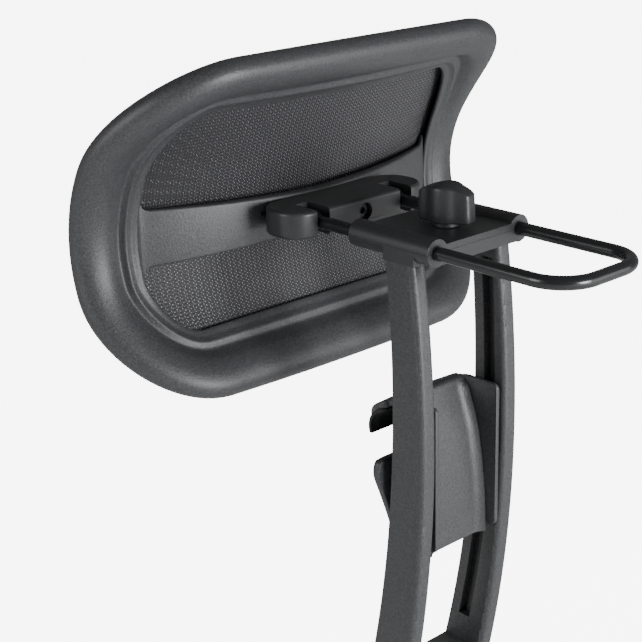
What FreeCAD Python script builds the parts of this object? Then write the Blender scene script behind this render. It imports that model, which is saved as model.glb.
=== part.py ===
"""Height-adjustable headrest for a mesh office chair, as a parametric FreeCAD document.

Frame: X is lateral, +X to the sitter's left. Y runs along the two rods, +Y to the rear.
+Z is up. The origin is the middle of the pad that rests on the back of the chair.
"""
import math
import os
import re

import FreeCAD
import Part
import Sketcher

Vector = FreeCAD.Vector
Rotation = FreeCAD.Rotation
ALONG_X = Rotation(Vector(0, 1, 0), 90)
ALONG_Y = Rotation(Vector(1, 0, 0), -90)
ALONG_Z = Rotation()

doc = FreeCAD.newDocument("chair_headrest")
sheet = doc.addObject("Spreadsheet::Sheet", "dims")

DIMENSIONS = {
    # the U-shaped rod
    "rod_radius": 4.0,
    "rod_x": 35.0,
    "rod_z": 145.0,
    "rod_bend_start": 113.5,
    "rod_bend_radius": 23.0,
    # the tilt pivot at the rod's front ends
    "pivot_y": -60.0,
    "pin_radius": 2.5,
    "pin_length": 26.0,
    "eye_radius": 5.5,
    "eye_width": 7.0,
    "running_clearance": 0.05,
    "free_clearance": 0.4,
    "overshoot": 1.0,
    "weld_overlap": 0.5,
    # the clamp that holds the rod
    "clamp_front": -19.0,
    "clamp_length": 64.0,
    "barrel_radius": 8.3,
    "plate_above": 4.1,
    "plate_below": 7.7,
    "liner_radius": 4.9,
    "liner_length": 12.0,
    "seat_inner_x": 29.5,
    "seat_width": 13.8,
    "seat_front": 10.0,
    "seat_length": 24.0,
    # the knob
    "knob_y": 19.0,
    "knob_gap": 3.2,
    "knob_height": 22.0,
    "hub_radius": 12.5,
    "wing_length": 42.0,
    "wing_width": 13.0,
    "wing_turn": 14.0,
    "wing_round": 4.0,
    "stud_radius": 3.0,
    "nut_height": 5.0,
    "nut_radius": 5.5,
    "nut_boss_wall": 3.0,
    "collar_radius": 8.0,
    "stud_grip": 12.0,
    # the two posts, which slide on an arc about a far axis along X
    "arc_y": -810.5,
    "arc_z": 50.0,
    "post_front_radius": 826.0,
    "post_rear_y": -776.5,
    "post_rear_z": 19.6,
    "post_rear_radius": 816.7,
    "post_inner_x": 30.3,
    "post_width": 12.0,
    "post_top": 136.0,
    "post_bottom": -161.0,
    "post_edge_round": 3.5,
    "post_blank_front": -47.0,
    "post_blank_depth": 120.0,
    "groove_radius": 833.0,
    "groove_width": 9.0,
    "groove_depth": 6.0,
    "groove_top": 124.0,
    "groove_bottom": -129.0,
    "strip_thickness": 1.3,
    "strip_margin": 2.5,
    "bridge_front": -9.0,
    "bridge_depth": 26.0,
    "bridge_height": 12.0,
    "bridge_screw_radius": 2.0,
    "spigot_length": 11.0,
    "spigot_wall": 2.0,
    "spigot_front": 16.0,
    "spigot_depth": 13.0,
    "cross_screw_radius": 1.6,
    "cross_screw_length": 9.0,
    # the saddle on the chair's top rail
    "pad_thickness": 2.0,
    "base_thickness": 5.0,
    "rail_y": 0.5,
    "rail_z": 22.5,
    "rail_radius": 12.0,
    "hook_half_width": 35.5,
    "hook_rear": 1.5,
    "hook_lip_z": 17.0,
    "hook_front": -17.8,
    "hook_end_round": 4.0,
    "shield_top": 8.0,
    "shield_widest_z": -2.0,
    "shield_half_width": 46.5,
    "shield_waist_z": -14.0,
    "shield_waist_half": 42.5,
    "shield_narrow_z": -36.0,
    "shield_narrow_half": 34.5,
    "shield_foot_half": 28.0,
    "pad_margin": 4.0,
    "pad_top": 6.0,
    "cover_half_width": 28.4,
    "cover_wall": 2.8,
    "cover_lip": 37.5,
    "cover_top": 45.8,
    "cover_bottom": -56.0,
    "panel_thickness": 3.2,
    "shoe_bottom": -42.0,
    "shoe_length": 70.0,
    "shoe_side_clearance": 0.3,
    "boss_radius": 4.5,
    "saddle_head_radius": 3.5,
    "saddle_head_height": 2.5,
    "saddle_shank_radius": 1.8,
    "saddle_shank_length": 13.0,
    "shoe_head_radius": 1.9,
    "shoe_head_height": 1.5,
    "shoe_shank_radius": 1.1,
    # the pivot housing on the headrest's crossbar
    "housing_half_length": 58.0,
    "housing_rear": -49.0,
    "housing_front": -86.5,
    "housing_half_height": 8.6,
    "housing_end_round": 16.5,
    "housing_edge_round": 2.5,
    "housing_screw_head": 3.4,
    "housing_screw_head_height": 2.4,
    "housing_screw_shank": 1.7,
    "housing_screw_length": 17.0,
    "washer_radius": 5.0,
    "tension_head_radius": 4.6,
    "tension_head_height": 5.0,
    "tension_shank_radius": 2.5,
    "tension_key_radius": 2.4,
    "tension_nut_radius": 4.9,
    "tension_nut_height": 4.0,
    "seat_depth_on_bar": 6.5,
    "seat_margin": 4.0,
    "notch_inner_x": 30.2,
    "notch_width": 10.0,
    "notch_depth": 20.0,
    "socket_radius": 5.5,
    "socket_depth": 8.0,
    # the headrest's saddle-shaped frame
    "ring_half_width": 145.8,
    "ring_half_height": 91.1,
    "ring_corner": 54.0,
    "ring_z": 147.3,
    "ring_y": -100.0,
    "plan_radius": 386.0,
    "plan_fade": 0.78,
    "side_bow": 0.0035,
    "side_flare": 0.00000005,
    "side_lean": 0.13,
    "fade_height": 90.0,
    "crossbar_rear_y": -86.0,
    "crossbar_rear_radius": 252.0,
    "crossbar_front_y": -94.0,
    "crossbar_front_radius": 289.0,
    "crossbar_half_width": 134.0,
    "crossbar_above": 9.4,
    "crossbar_below": 14.6,
    "crossbar_end_above": 12.4,
    "crossbar_end_below": 24.4,
    "lip_reach_side": 1.13,
    "lip_reach_end": 1.4,
    "mesh_margin": 19.9,
    "mesh_rear_offset": -4.7,
    "mesh_front_offset": -5.9,
}


def fill_sheet():
    for row, (alias, value) in enumerate(DIMENSIONS.items(), start=1):
        sheet.set(f"A{row}", alias)
        sheet.set(f"B{row}", str(value))
        sheet.setAlias(f"B{row}", alias)
    doc.recompute()


def size(alias):
    return float(sheet.get(alias))


def cells(text):
    """Turn an expression in plain aliases into one that names the sheet."""
    def name_cell(match):
        word = match.group()
        return "dims." + word if word in DIMENSIONS else word
    return re.sub(r"[a-z_]{3,}", name_cell, text)


def bind(obj, **expressions):
    for name, text in expressions.items():
        obj.setExpression(name, cells(text))


def place(obj, corner, rotation=ALONG_Z):
    obj.Placement = FreeCAD.Placement(Vector(), rotation)
    for axis, text in zip("xyz", corner):
        obj.setExpression("Placement.Base." + axis, cells(text))


def box(name, corner, extent):
    obj = doc.addObject("Part::Box", name)
    bind(obj, Length=extent[0], Width=extent[1], Height=extent[2])
    place(obj, corner)
    return obj


def cylinder(name, base, radius, length, rotation=ALONG_Z):
    obj = doc.addObject("Part::Cylinder", name)
    bind(obj, Radius=radius, Height=length)
    place(obj, base, rotation)
    return obj


def hexagon(name, base, radius, length, rotation=ALONG_Z):
    obj = doc.addObject("Part::Prism", name)
    obj.Polygon = 6
    bind(obj, Circumradius=radius, Height=length)
    place(obj, base, rotation)
    return obj


def fuse(name, *parts):
    obj = doc.addObject("Part::MultiFuse", name)
    obj.Shapes = list(parts)
    obj.Refine = True
    return obj


def group(name, parts):
    """Several separate solids that are kept together in one node."""
    obj = doc.addObject("Part::Compound", name)
    obj.Links = list(parts)
    return obj


def cut(name, base, *tools):
    for count, tool in enumerate(tools, start=1):
        obj = doc.addObject("Part::Cut", name if count == len(tools) else f"{name}_cut{count}")
        obj.Base = base
        obj.Tool = tool
        base = obj
    return base


def common(name, *parts):
    obj = doc.addObject("Part::MultiCommon", name)
    obj.Shapes = list(parts)
    return obj


def mirror(name, source):
    obj = doc.addObject("Part::Mirroring", name)
    obj.Source = source
    obj.Normal = Vector(1, 0, 0)
    return obj


def rounded(name, base, alias, keep):
    """Fillet the edges of base that keep(edge) accepts, with the radius in one cell."""
    doc.recompute()
    obj = doc.addObject("Part::Fillet", name)
    obj.Base = base
    radius = size(alias) if isinstance(alias, str) else alias
    chosen = [i for i, edge in enumerate(base.Shape.Edges, start=1) if keep(edge)]
    obj.Edges = [(i, radius, radius) for i in chosen]
    return obj


def outline(name, points, rotation, base, depth):
    """Extrude a closed polygon of expression pairs by depth along its sketch's normal."""
    sketch = doc.addObject("Sketcher::SketchObject", name + "_sketch")
    place(sketch, base, rotation)
    values = [(evaluate(u), evaluate(v)) for u, v in points]
    count = len(points)
    for i in range(count):
        start, end = values[i], values[(i + 1) % count]
        sketch.addGeometry(Part.LineSegment(Vector(*start, 0), Vector(*end, 0)))
    for i in range(count):
        sketch.addConstraint(Sketcher.Constraint("Coincident", i, 2, (i + 1) % count, 1))
    for i, (u, v) in enumerate(points):
        for kind, text, value in (("DistanceX", u, values[i][0]), ("DistanceY", v, values[i][1])):
            index = sketch.addConstraint(Sketcher.Constraint(kind, -1, 1, i, 1, value))
            sketch.setExpression(f"Constraints[{index}]", cells(text))
    obj = doc.addObject("Part::Extrusion", name)
    obj.Base = sketch
    obj.DirMode = "Normal"
    obj.Solid = True
    bind(obj, LengthFwd=depth)
    return obj


def evaluate(text):
    return float(sheet.evalExpression(cells(text)))


# The plane normal to X: sketch x runs along +Y and sketch y along +Z.
FACING_X = Rotation(Vector(0, 1, 0), Vector(0, 0, 1), Vector(1, 0, 0), "XYZ")
# The plane normal to Y: sketch x runs along +X and sketch y along +Z, and its normal is -Y.
FACING_FRONT = Rotation(Vector(1, 0, 0), Vector(0, 0, 1), Vector(0, -1, 0), "XYZ")


# ---- the rod body ----------------------------------------------------------------------------

def make_rod():
    """One bar bent into a U: two straight legs, two quarter bends and a closing bar."""
    parts = []
    for side, turn in (("-", 90), ("", 0)):
        tag = "left" if side == "" else "right"
        leg_start = "pivot_y + eye_radius - weld_overlap"
        parts.append(cylinder(f"rod_leg_{tag}", (f"{side}rod_x", leg_start, "rod_z"),
                              "rod_radius", f"rod_bend_start - ({leg_start})", ALONG_Y))
        bend = doc.addObject("Part::Torus", f"rod_bend_{tag}")
        bind(bend, Radius1="rod_bend_radius", Radius2="rod_radius")
        bend.Angle3 = 90
        place(bend, (f"{side}(rod_x - rod_bend_radius)", "rod_bend_start", "rod_z"),
              Rotation(Vector(0, 0, 1), turn))
        parts.append(bend)
    start = ("rod_bend_radius - rod_x", "rod_bend_start + rod_bend_radius", "rod_z")
    parts.append(cylinder("rod_closing_bar", start, "rod_radius", "2 * (rod_x - rod_bend_radius)", ALONG_X))
    return fuse("u_rod", *parts)


def make_rod_eyes():
    """The pierced ends that are welded to the rod's legs and turn on the tilt pins."""
    eyes = []
    for side, tag in (("", "left"), ("-", "right")):
        base = (f"{side}rod_x - eye_width / 2", "pivot_y", "rod_z")
        ring = cylinder(f"eye_{tag}_ring", base, "eye_radius", "eye_width", ALONG_X)
        flat = box(f"eye_{tag}_flat", (f"{side}rod_x - eye_width", "pivot_y + eye_radius - weld_overlap",
                                       "rod_z - 2 * eye_radius"),
                   ("2 * eye_width", "eye_radius", "4 * eye_radius"))
        bore = cylinder(f"eye_{tag}_bore", (f"{side}rod_x - eye_width", "pivot_y", "rod_z"),
                        "pin_radius + running_clearance", "2 * eye_width", ALONG_X)
        eyes.append(cut(f"eye_{tag}", ring, flat, bore))
    return group("rod_eyes", eyes)


# ---- the carriage: clamp, posts and what joins them --------------------------------------------

def clamp_blank(name, plate_from, plate_height, keep_from):
    """Half of the clamp: a plate between two half-round barrels, cut flat at the rod's height."""
    plate = box(f"{name}_plate", ("-rod_x", "clamp_front", plate_from),
                ("2 * rod_x", "clamp_length", plate_height))
    barrels = [cylinder(f"{name}_barrel_{tag}", (f"{side}rod_x", "clamp_front", "rod_z"),
                        "barrel_radius", "clamp_length", ALONG_Y)
               for side, tag in (("", "left"), ("-", "right"))]
    whole = fuse(f"{name}_whole", plate, *barrels)
    corner = ("-rod_x - barrel_radius - overshoot", "clamp_front - overshoot", keep_from)
    half_space = box(f"{name}_half", corner, ("2 * (rod_x + barrel_radius + overshoot)",
                                              "clamp_length + 2 * overshoot", "barrel_radius + overshoot"))
    return common(f"{name}_blank", whole, half_space)


def clamp_bores(name):
    """The bores that hold the rod's liners, and the narrower run between them."""
    tools = []
    for side, tag in (("", "left"), ("-", "right")):
        tools.append(cylinder(f"{name}_run_{tag}", (f"{side}rod_x", "clamp_front - overshoot", "rod_z"),
                              "rod_radius + free_clearance", "clamp_length + 2 * overshoot", ALONG_Y))
        rear_start = "clamp_front + clamp_length - liner_length"
        for end, start in (("front", "clamp_front - overshoot"), ("rear", rear_start)):
            tools.append(cylinder(f"{name}_seat_{end}_{tag}", (f"{side}rod_x", start, "rod_z"),
                                  "liner_radius", "liner_length + overshoot", ALONG_Y))
    return fuse(f"{name}_bores", *tools)


def make_clamp_upper():
    blank = clamp_blank("clamp_upper", "rod_z", "plate_above", "rod_z")
    stud_hole = cylinder("clamp_upper_stud_hole", ("0", "knob_y", "rod_z - overshoot"),
                         "stud_radius + free_clearance", "plate_above + 2 * overshoot")
    return cut("clamp_upper", blank, clamp_bores("clamp_upper"), stud_hole)


def make_clamp_lower():
    blank = clamp_blank("clamp_lower", "rod_z - plate_below", "plate_below",
                        "rod_z - barrel_radius - overshoot")
    seats = [box(f"clamp_seat_{tag}", (x, "seat_front", "post_top"),
                 ("seat_width", "seat_length", "rod_z - post_top"))
             for x, tag in (("seat_inner_x", "left"), ("-seat_inner_x - seat_width", "right"))]
    spigots = [spigot_box(f"clamp_spigot_{tag}", tag, "0") for tag in ("left", "right")]
    boss = cylinder("clamp_nut_boss", ("0", "knob_y", "rod_z - plate_below - nut_height"),
                    "nut_radius + nut_boss_wall", "nut_height")
    whole = fuse("clamp_lower_whole", blank, *seats, *spigots, boss)
    stud_hole = cylinder("clamp_lower_stud_hole", ("0", "knob_y", "rod_z - plate_below - 2 * nut_height"),
                         "stud_radius + free_clearance", "plate_below + 3 * nut_height")
    pocket = hexagon("clamp_nut_pocket", ("0", "knob_y", "rod_z - plate_below - nut_height - overshoot"),
                     "nut_radius + running_clearance", "nut_height + overshoot")
    screw_holes = cross_screws("clamp_lower_screw_hole")
    return cut("clamp_lower", whole, clamp_bores("clamp_lower"), stud_hole, pocket, screw_holes)


def spigot_box(name, tag, extra):
    """The peg under the clamp that fits into a post's top, made taller by extra."""
    x = "post_inner_x + spigot_wall" if tag == "left" else "-post_inner_x - post_width + spigot_wall"
    return box(name, (x, "spigot_front", "post_top - spigot_length"),
               ("post_width - 2 * spigot_wall", "spigot_depth", f"spigot_length + {extra}"))


def make_clamp_nut():
    nut = hexagon("clamp_nut_blank", ("0", "knob_y", "rod_z - plate_below - nut_height"),
                  "nut_radius", "nut_height")
    bore = cylinder("clamp_nut_bore", ("0", "knob_y", "rod_z - plate_below - 2 * nut_height"),
                    "stud_radius + running_clearance", "3 * nut_height")
    return cut("clamp_nut", nut, bore)


def make_rod_liners():
    """Four plain bushes, one in each end of both barrels, that the rod slides in."""
    liners = []
    for side, tag in (("", "left"), ("-", "right")):
        rear_start = "clamp_front + clamp_length - liner_length"
        for end, start in (("front", "clamp_front"), ("rear", rear_start)):
            name = f"liner_{end}_{tag}"
            sleeve = cylinder(name + "_sleeve", (f"{side}rod_x", start, "rod_z"),
                              "liner_radius", "liner_length", ALONG_Y)
            bore = cylinder(name + "_bore", (f"{side}rod_x", "clamp_front - overshoot", "rod_z"),
                            "rod_radius + running_clearance", "clamp_length + 2 * overshoot", ALONG_Y)
            liners.append(cut(name, sleeve, bore))
    return group("rod_liners", liners)


def cross_screws(name):
    """Two screws per post that run outward through its top into the clamp's spigot."""
    screws = []
    for side in ("left", "right"):
        x = "post_inner_x" if side == "left" else "-post_inner_x - cross_screw_length"
        for count, y in enumerate(("spigot_front + 3", "spigot_front + 10"), start=1):
            screws.append(cylinder(f"{name}_{side}_{count}", (x, y, "post_top - spigot_length / 2"),
                                   "cross_screw_radius", "cross_screw_length", ALONG_X))
    return group(name, screws)


def arc_band(name, inner, outer, x, depth):
    """The part of a disc about the height axis between two radii, as thick as depth."""
    disc = cylinder(f"{name}_disc", (x, "arc_y", "arc_z"), outer, depth, ALONG_X)
    hole = cylinder(f"{name}_hole", (f"{x} - overshoot", "arc_y", "arc_z"), inner,
                    f"{depth} + 2 * overshoot", ALONG_X)
    return cut(f"{name}_band", disc, hole)


def make_post(name):
    """The left post: an arc-shaped bar with a sliding groove in its inner face."""
    blank = box(f"{name}_blank", ("post_inner_x", "post_blank_front", "post_bottom"),
                ("post_width", "post_blank_depth", "post_top - post_bottom"))
    front = cylinder(f"{name}_front", ("post_inner_x - overshoot", "arc_y", "arc_z"),
                     "post_front_radius", "post_width + 2 * overshoot", ALONG_X)
    rear = cylinder(f"{name}_rear", ("post_inner_x - overshoot", "post_rear_y", "post_rear_z"),
                    "post_rear_radius", "post_width + 2 * overshoot", ALONG_X)
    bar = cut(f"{name}_bar", common(f"{name}_inside_rear", blank, rear), front)
    softened = rounded(f"{name}_softened", bar, "post_edge_round", is_long_rear_edge)
    band = arc_band(f"{name}_groove", "groove_radius", "groove_radius + groove_width",
                    "post_inner_x - overshoot", "groove_depth + overshoot")
    reach = box(f"{name}_groove_reach", ("0", "post_blank_front", "groove_bottom"),
                ("post_inner_x + post_width", "post_blank_depth", "groove_top - groove_bottom"))
    groove = common(f"{name}_groove", band, reach)
    socket = spigot_box(f"{name}_socket", "left", "overshoot")
    screw_holes = cross_screws(f"{name}_screw_hole")
    bridge_holes = bridge_screw_set(f"{name}_bridge_hole")
    return cut(name, softened, groove, socket, screw_holes, bridge_holes)


def is_long_rear_edge(edge):
    """True for the two long edges of a post's rear face."""
    curve = edge.Curve
    return isinstance(curve, Part.Circle) and abs(curve.Radius - size("post_rear_radius")) < 0.1


def make_strip(name):
    """The acetal strip on the groove's floor that the saddle's shoe rubs on."""
    band = arc_band(name, "groove_radius + strip_margin", "groove_radius + groove_width - strip_margin",
                    "post_inner_x + groove_depth - strip_thickness", "strip_thickness")
    reach = box(f"{name}_reach", ("0", "post_blank_front", "groove_bottom + strip_margin"),
                ("post_inner_x + post_width", "post_blank_depth",
                 "groove_top - groove_bottom - 2 * strip_margin"))
    return common(name, band, reach)


def bridge_screw_set(name):
    """Two screws per post, from its outer face into the bottom bridge."""
    screws = []
    for side in ("left", "right"):
        x = "post_inner_x - post_width" if side == "left" else "-post_inner_x - post_width"
        for count, y in enumerate(("bridge_front + 4", "bridge_front + bridge_depth - 4"), start=1):
            screws.append(cylinder(f"{name}_{side}_{count}", (x, y, "post_bottom + bridge_height / 2"),
                                   "bridge_screw_radius", "2 * post_width", ALONG_X))
    return group(name, screws)


def make_bridge():
    """The crosspiece between the lower ends of the posts."""
    bar = box("bridge_bar", ("-post_inner_x", "bridge_front", "post_bottom"),
              ("2 * post_inner_x", "bridge_depth", "bridge_height"))
    return cut("bottom_bridge", bar, bridge_screw_set("bridge_hole"))


# ---- the knob body -----------------------------------------------------------------------------

def make_knob():
    """A wing knob: a round hub with two blunt wings."""
    low = "rod_z + plate_above + knob_gap"
    hub = cylinder("knob_hub", ("0", "knob_y", low), "hub_radius", "knob_height")
    wing = doc.addObject("Part::Box", "knob_wing")
    bind(wing, Length="wing_width", Width="wing_length", Height="knob_height")
    turn = math.radians(size("wing_turn"))
    across, along = math.sin(turn), math.cos(turn)
    place(wing, (f"wing_length / 2 * {across} - wing_width / 2 * {along}",
                 f"knob_y - wing_width / 2 * {across} - wing_length / 2 * {along}", low),
          Rotation(Vector(0, 0, 1), size("wing_turn")))
    soft_wing = rounded("knob_soft_wing", wing, "wing_round", is_vertical)
    body = fuse("knob_body", hub, soft_wing)
    bore = cylinder("knob_bore", ("0", "knob_y", f"{low} - overshoot"),
                    "stud_radius", "stud_grip + overshoot")
    return cut("knob", body, bore)


def is_vertical(edge):
    first, last = edge.Vertexes[0].Point, edge.Vertexes[-1].Point
    return abs(first.x - last.x) < 1e-6 and abs(first.y - last.y) < 1e-6 and abs(first.z - last.z) > 1


def make_knob_stud():
    return cylinder("knob_stud", ("0", "knob_y", "rod_z - plate_below - nut_height"), "stud_radius",
                    "plate_below + nut_height + plate_above + knob_gap + stud_grip")


def make_knob_washer():
    """The collar that is moulded round the stud and bears on the clamp's plate."""
    collar = cylinder("knob_washer_disc", ("0", "knob_y", "rod_z + plate_above + free_clearance"),
                      "collar_radius", "knob_gap - free_clearance")
    bore = cylinder("knob_washer_bore", ("0", "knob_y", "rod_z"), "stud_radius",
                    "plate_above + knob_gap + overshoot")
    return cut("knob_washer", collar, bore)


# ---- the saddle that sits on the chair's top rail ----------------------------------------------

def rail_hollow(name, radius):
    """The chair's round rail, a little longer than the hook that goes over it."""
    return cylinder(name, ("-hook_half_width - overshoot", "rail_y", "rail_z"), radius,
                    "2 * (hook_half_width + overshoot)", ALONG_X)


def hook_reach(name, margin):
    """The space of the hook: wide over the rail's crown and front, narrow behind the rail."""
    crown = box(f"{name}_crown", (f"{margin} - hook_half_width", "2 * hook_front", f"hook_lip_z + {margin}"),
                (f"2 * (hook_half_width - {margin})", f"hook_rear - {margin} - 2 * hook_front",
                 "3 * rail_radius"))
    ends = rounded(f"{name}_ends", crown, "hook_end_round", is_vertical)
    neck = box(f"{name}_neck", (f"{margin} - cover_half_width", f"hook_rear - {margin} - hook_end_round", "rail_z"),
               (f"2 * (cover_half_width - {margin})", "rail_radius + hook_end_round", "2 * rail_radius"))
    return fuse(f"{name}_reach", ends, neck)


def make_saddle_base():
    """The shield-shaped plate that carries the pad, behind the chair's back and below its rail."""
    shield = outline("base_shield", both_sides([
        ("shield_half_width", "shield_top"), ("shield_half_width", "shield_widest_z"),
        ("shield_waist_half", "shield_waist_z"), ("shield_narrow_half", "shield_narrow_z"),
        ("shield_foot_half", "cover_bottom")]),
        FACING_FRONT, ("0", "pad_thickness + base_thickness", "0"), "base_thickness")
    return cut("saddle_base", shield, saddle_screw_set("base_screw_hole"))


def both_sides(points):
    """A symmetric outline from the points of its +X half, top to bottom."""
    return points + [(f"-({x})", z) for x, z in reversed(points)]


def make_rail_pad():
    """The rubber liner inside the hook."""
    liner = cut("pad_ring", rail_hollow("pad_outside", "rail_radius + pad_thickness"),
                rail_hollow("pad_inside", "rail_radius"))
    return common("rail_pad", liner, hook_reach("pad", "overshoot"))


def make_back_pad():
    """The rubber pad between the saddle and the back of the chair."""
    return outline("back_pad", both_sides([
        ("shield_half_width - pad_margin", "pad_top"),
        ("shield_half_width - pad_margin", "shield_widest_z"),
        ("shield_narrow_half - pad_margin", "shield_narrow_z"),
        ("shield_foot_half - pad_margin", "cover_bottom + pad_margin")]),
        FACING_FRONT, ("0", "pad_thickness", "0"), "pad_thickness")


def make_saddle_cover():
    """The channel between the posts, with the hook that its panel runs into at the top."""
    front = "pad_thickness + base_thickness"
    panel = outline("cover_panel", [
        ("17.2 - panel_thickness", "rail_z"), ("20.8 - panel_thickness", "11"),
        ("24.2 - panel_thickness", "-12"), ("26.6 - panel_thickness", "-34"),
        ("27.2 - panel_thickness", "cover_bottom"), ("27.2", "cover_bottom"), ("26.6", "-34"),
        ("24.2", "-12"), ("20.8", "11"), ("17.2", "rail_z")],
        FACING_X, ("-cover_half_width", "0", "0"), "2 * cover_half_width")
    roll = outline("cover_roll", [
        ("17.2", "rail_z"), ("15", "29"), ("13.3", "34"), ("12", "39"), ("11.2", "42.5"), ("8.5", "45"),
        ("4.6", "44.5"), ("0.3", "43.2"), ("-4.9", "40.9"), ("-8.5", "38.8"), ("-12.5", "35.4"),
        ("-15.6", "31"), ("hook_front + 0.5", "26"), ("hook_front", "21"), ("hook_front + 0.4", "hook_lip_z"),
        ("rail_y", "hook_lip_z")],
        FACING_X, ("-hook_half_width", "0", "0"), "2 * hook_half_width")
    hook = common("cover_hook", roll, hook_reach("hook", "0"))
    walls = [outline(f"cover_wall_{tag}", [
        (front, "cover_top - 1.4"), (front, "cover_bottom + 6"), ("cover_lip - 5", "cover_bottom + 6"),
        ("cover_lip", "cover_bottom + 11"), ("cover_lip", "cover_top - 3"), ("cover_lip - 3", "cover_top"),
        (f"{front} + 5", "cover_top")],
        FACING_X, (x, "0", "0"), "cover_wall")
        for x, tag in (("cover_half_width - cover_wall", "left"), ("-cover_half_width", "right"))]
    bosses = [cylinder(f"cover_boss_{i}", (x, front, z), "boss_radius", depth, ALONG_Y)
              for i, (x, z, depth) in enumerate(boss_places(), start=1)]
    whole = fuse("cover_whole", panel, hook, *walls, *bosses)
    return cut("saddle_cover", whole, rail_hollow("cover_rail", "rail_radius + pad_thickness"),
               saddle_screw_set("cover_screw_hole"), shoe_screw_set("cover_shoe_hole"))


def boss_places():
    """X, Z and depth of the four bosses inside the cover."""
    return [("-18", "-2", "13"), ("18", "-2", "13"), ("-18", "-38", "17"), ("18", "-38", "17")]


def saddle_screw_set(name):
    """Four screws from the front of the base into the cover's bosses."""
    screws = []
    for i, (x, z, _) in enumerate(boss_places(), start=1):
        head = cylinder(f"{name}_head_{i}", (x, "pad_thickness", z),
                        "saddle_head_radius", "saddle_head_height", ALONG_Y)
        shank = cylinder(f"{name}_shank_{i}", (x, "pad_thickness + overshoot", z),
                         "saddle_shank_radius", "saddle_shank_length", ALONG_Y)
        screws.append(fuse(f"{name}_{i}", head, shank))
    return group(name, screws)


def make_shoe(name, mirrored):
    """The sliding shoe on the outside of one wall, which runs in a post's groove."""
    start = "cover_half_width"
    depth = "post_inner_x + groove_depth - strip_thickness - free_clearance - cover_half_width"
    band = arc_band(name, "groove_radius + shoe_side_clearance",
                    "groove_radius + groove_width - shoe_side_clearance", start, depth)
    reach = box(f"{name}_reach", ("0", "0", "shoe_bottom"),
                ("2 * cover_half_width", "2 * cover_lip", "shoe_length"))
    shoe = common(f"{name}_solid", band, reach)
    if mirrored:
        shoe = mirror(f"{name}_mirrored", shoe)
    return cut(name, shoe, shoe_screw_set(f"{name}_hole"))


def shoe_screw_set(name):
    """Two screws per side, from inside the cover's walls into the shoes."""
    screws = []
    for count, z in enumerate((-20.0, -34.0), start=1):
        y = f"arc_y + sqrt((groove_radius + groove_width / 3) ^ 2 - ({z} - arc_z) ^ 2) - 1.5"
        for side in ("left", "right"):
            inner_face = "cover_half_width - cover_wall"
            x = inner_face if side == "left" else "-cover_half_width - 4"
            head_x = f"{inner_face} - shoe_head_height" if side == "left" else f"-({inner_face})"
            shank = cylinder(f"{name}_shank_{side}_{count}", (x, y, str(z)),
                             "shoe_shank_radius", "cover_wall + 4", ALONG_X)
            head = cylinder(f"{name}_head_{side}_{count}", (head_x, y, str(z)),
                            "shoe_head_radius", "shoe_head_height", ALONG_X)
            screws.append(fuse(f"{name}_{side}_{count}", shank, head))
    return group(name, screws)


# ---- the headrest: pivot housing ---------------------------------------------------------------

def housing_block(name):
    """The housing's plain block, before its corners are rounded."""
    return box(name, ("-housing_half_length", "housing_front", "rod_z - housing_half_height"),
               ("2 * housing_half_length", "housing_rear - housing_front", "2 * housing_half_height"))


def make_housing():
    """The block on the crossbar that holds the tilt pins, notched for the rod's two ends."""
    bar = housing_block("housing_bar")
    bullet = rounded("housing_bullet", bar, "housing_end_round", is_vertical)
    soft = rounded("housing_soft", bullet, "housing_edge_round", is_housing_rim)
    notches = [box(f"housing_notch_{tag}", (x, "housing_rear - notch_depth",
                                            "rod_z - 2 * housing_half_height"),
                   ("notch_width", "notch_depth + overshoot", "4 * housing_half_height"))
               for x, tag in (("notch_inner_x", "left"), ("-notch_inner_x - notch_width", "right"))]
    pin_bores = tilt_pins("housing_pin_bore")
    socket = cylinder("housing_socket", ("0", "housing_rear - socket_depth", "rod_z"),
                      "socket_radius", "socket_depth + overshoot", ALONG_Y)
    shank_hole = cylinder("housing_shank_hole", ("0", "housing_front - overshoot", "rod_z"),
                          "tension_shank_radius + running_clearance",
                          "housing_rear - housing_front", ALONG_Y)
    nut_slot = hexagon("housing_nut_slot", ("0", "housing_front - overshoot", "rod_z"),
                       "tension_nut_radius", "2 * tension_nut_height", ALONG_Y)
    return cut("pivot_housing", soft, *notches, *pin_bores, socket, shank_hole, nut_slot,
               housing_screw_set("housing_screw_hole"))


def is_housing_rim(edge):
    """True for the top and bottom rim of the housing, away from the crossbar."""
    middle = edge.valueAt((edge.FirstParameter + edge.LastParameter) / 2)
    level = abs(abs(middle.z - size("rod_z")) - size("housing_half_height")) < 1e-6
    return level and middle.y > size("housing_front") + size("overshoot") / 2


def tilt_pins(name):
    """The two pins on the tilt axis, one through each of the rod's eyes."""
    return [cylinder(f"{name}_{tag}", (f"{side}rod_x - pin_length / 2", "pivot_y", "rod_z"),
                     "pin_radius", "pin_length", ALONG_X)
            for side, tag in (("", "left"), ("-", "right"))]


def make_friction_washers():
    """A thin washer on each side of both rod eyes, which holds the headrest where it is tilted."""
    washers = []
    eye_face = "eye_width / 2 + running_clearance"
    inner = ("notch_inner_x", f"rod_x - ({eye_face}) - notch_inner_x")
    outer = (f"rod_x + {eye_face}", f"notch_inner_x + notch_width - rod_x - ({eye_face})")
    for which, (start, thickness) in (("inner", inner), ("outer", outer)):
        for tag in ("left", "right"):
            x = start if tag == "left" else f"-({start}) - ({thickness})"
            name = f"washer_{which}_{tag}"
            disc = cylinder(f"{name}_disc", (x, "pivot_y", "rod_z"), "washer_radius", thickness, ALONG_X)
            bore = cylinder(f"{name}_bore", (f"{x} - overshoot", "pivot_y", "rod_z"), "pin_radius",
                            f"{thickness} + 2 * overshoot", ALONG_X)
            washers.append(cut(name, disc, bore))
    return group("friction_washers", washers)


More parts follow.
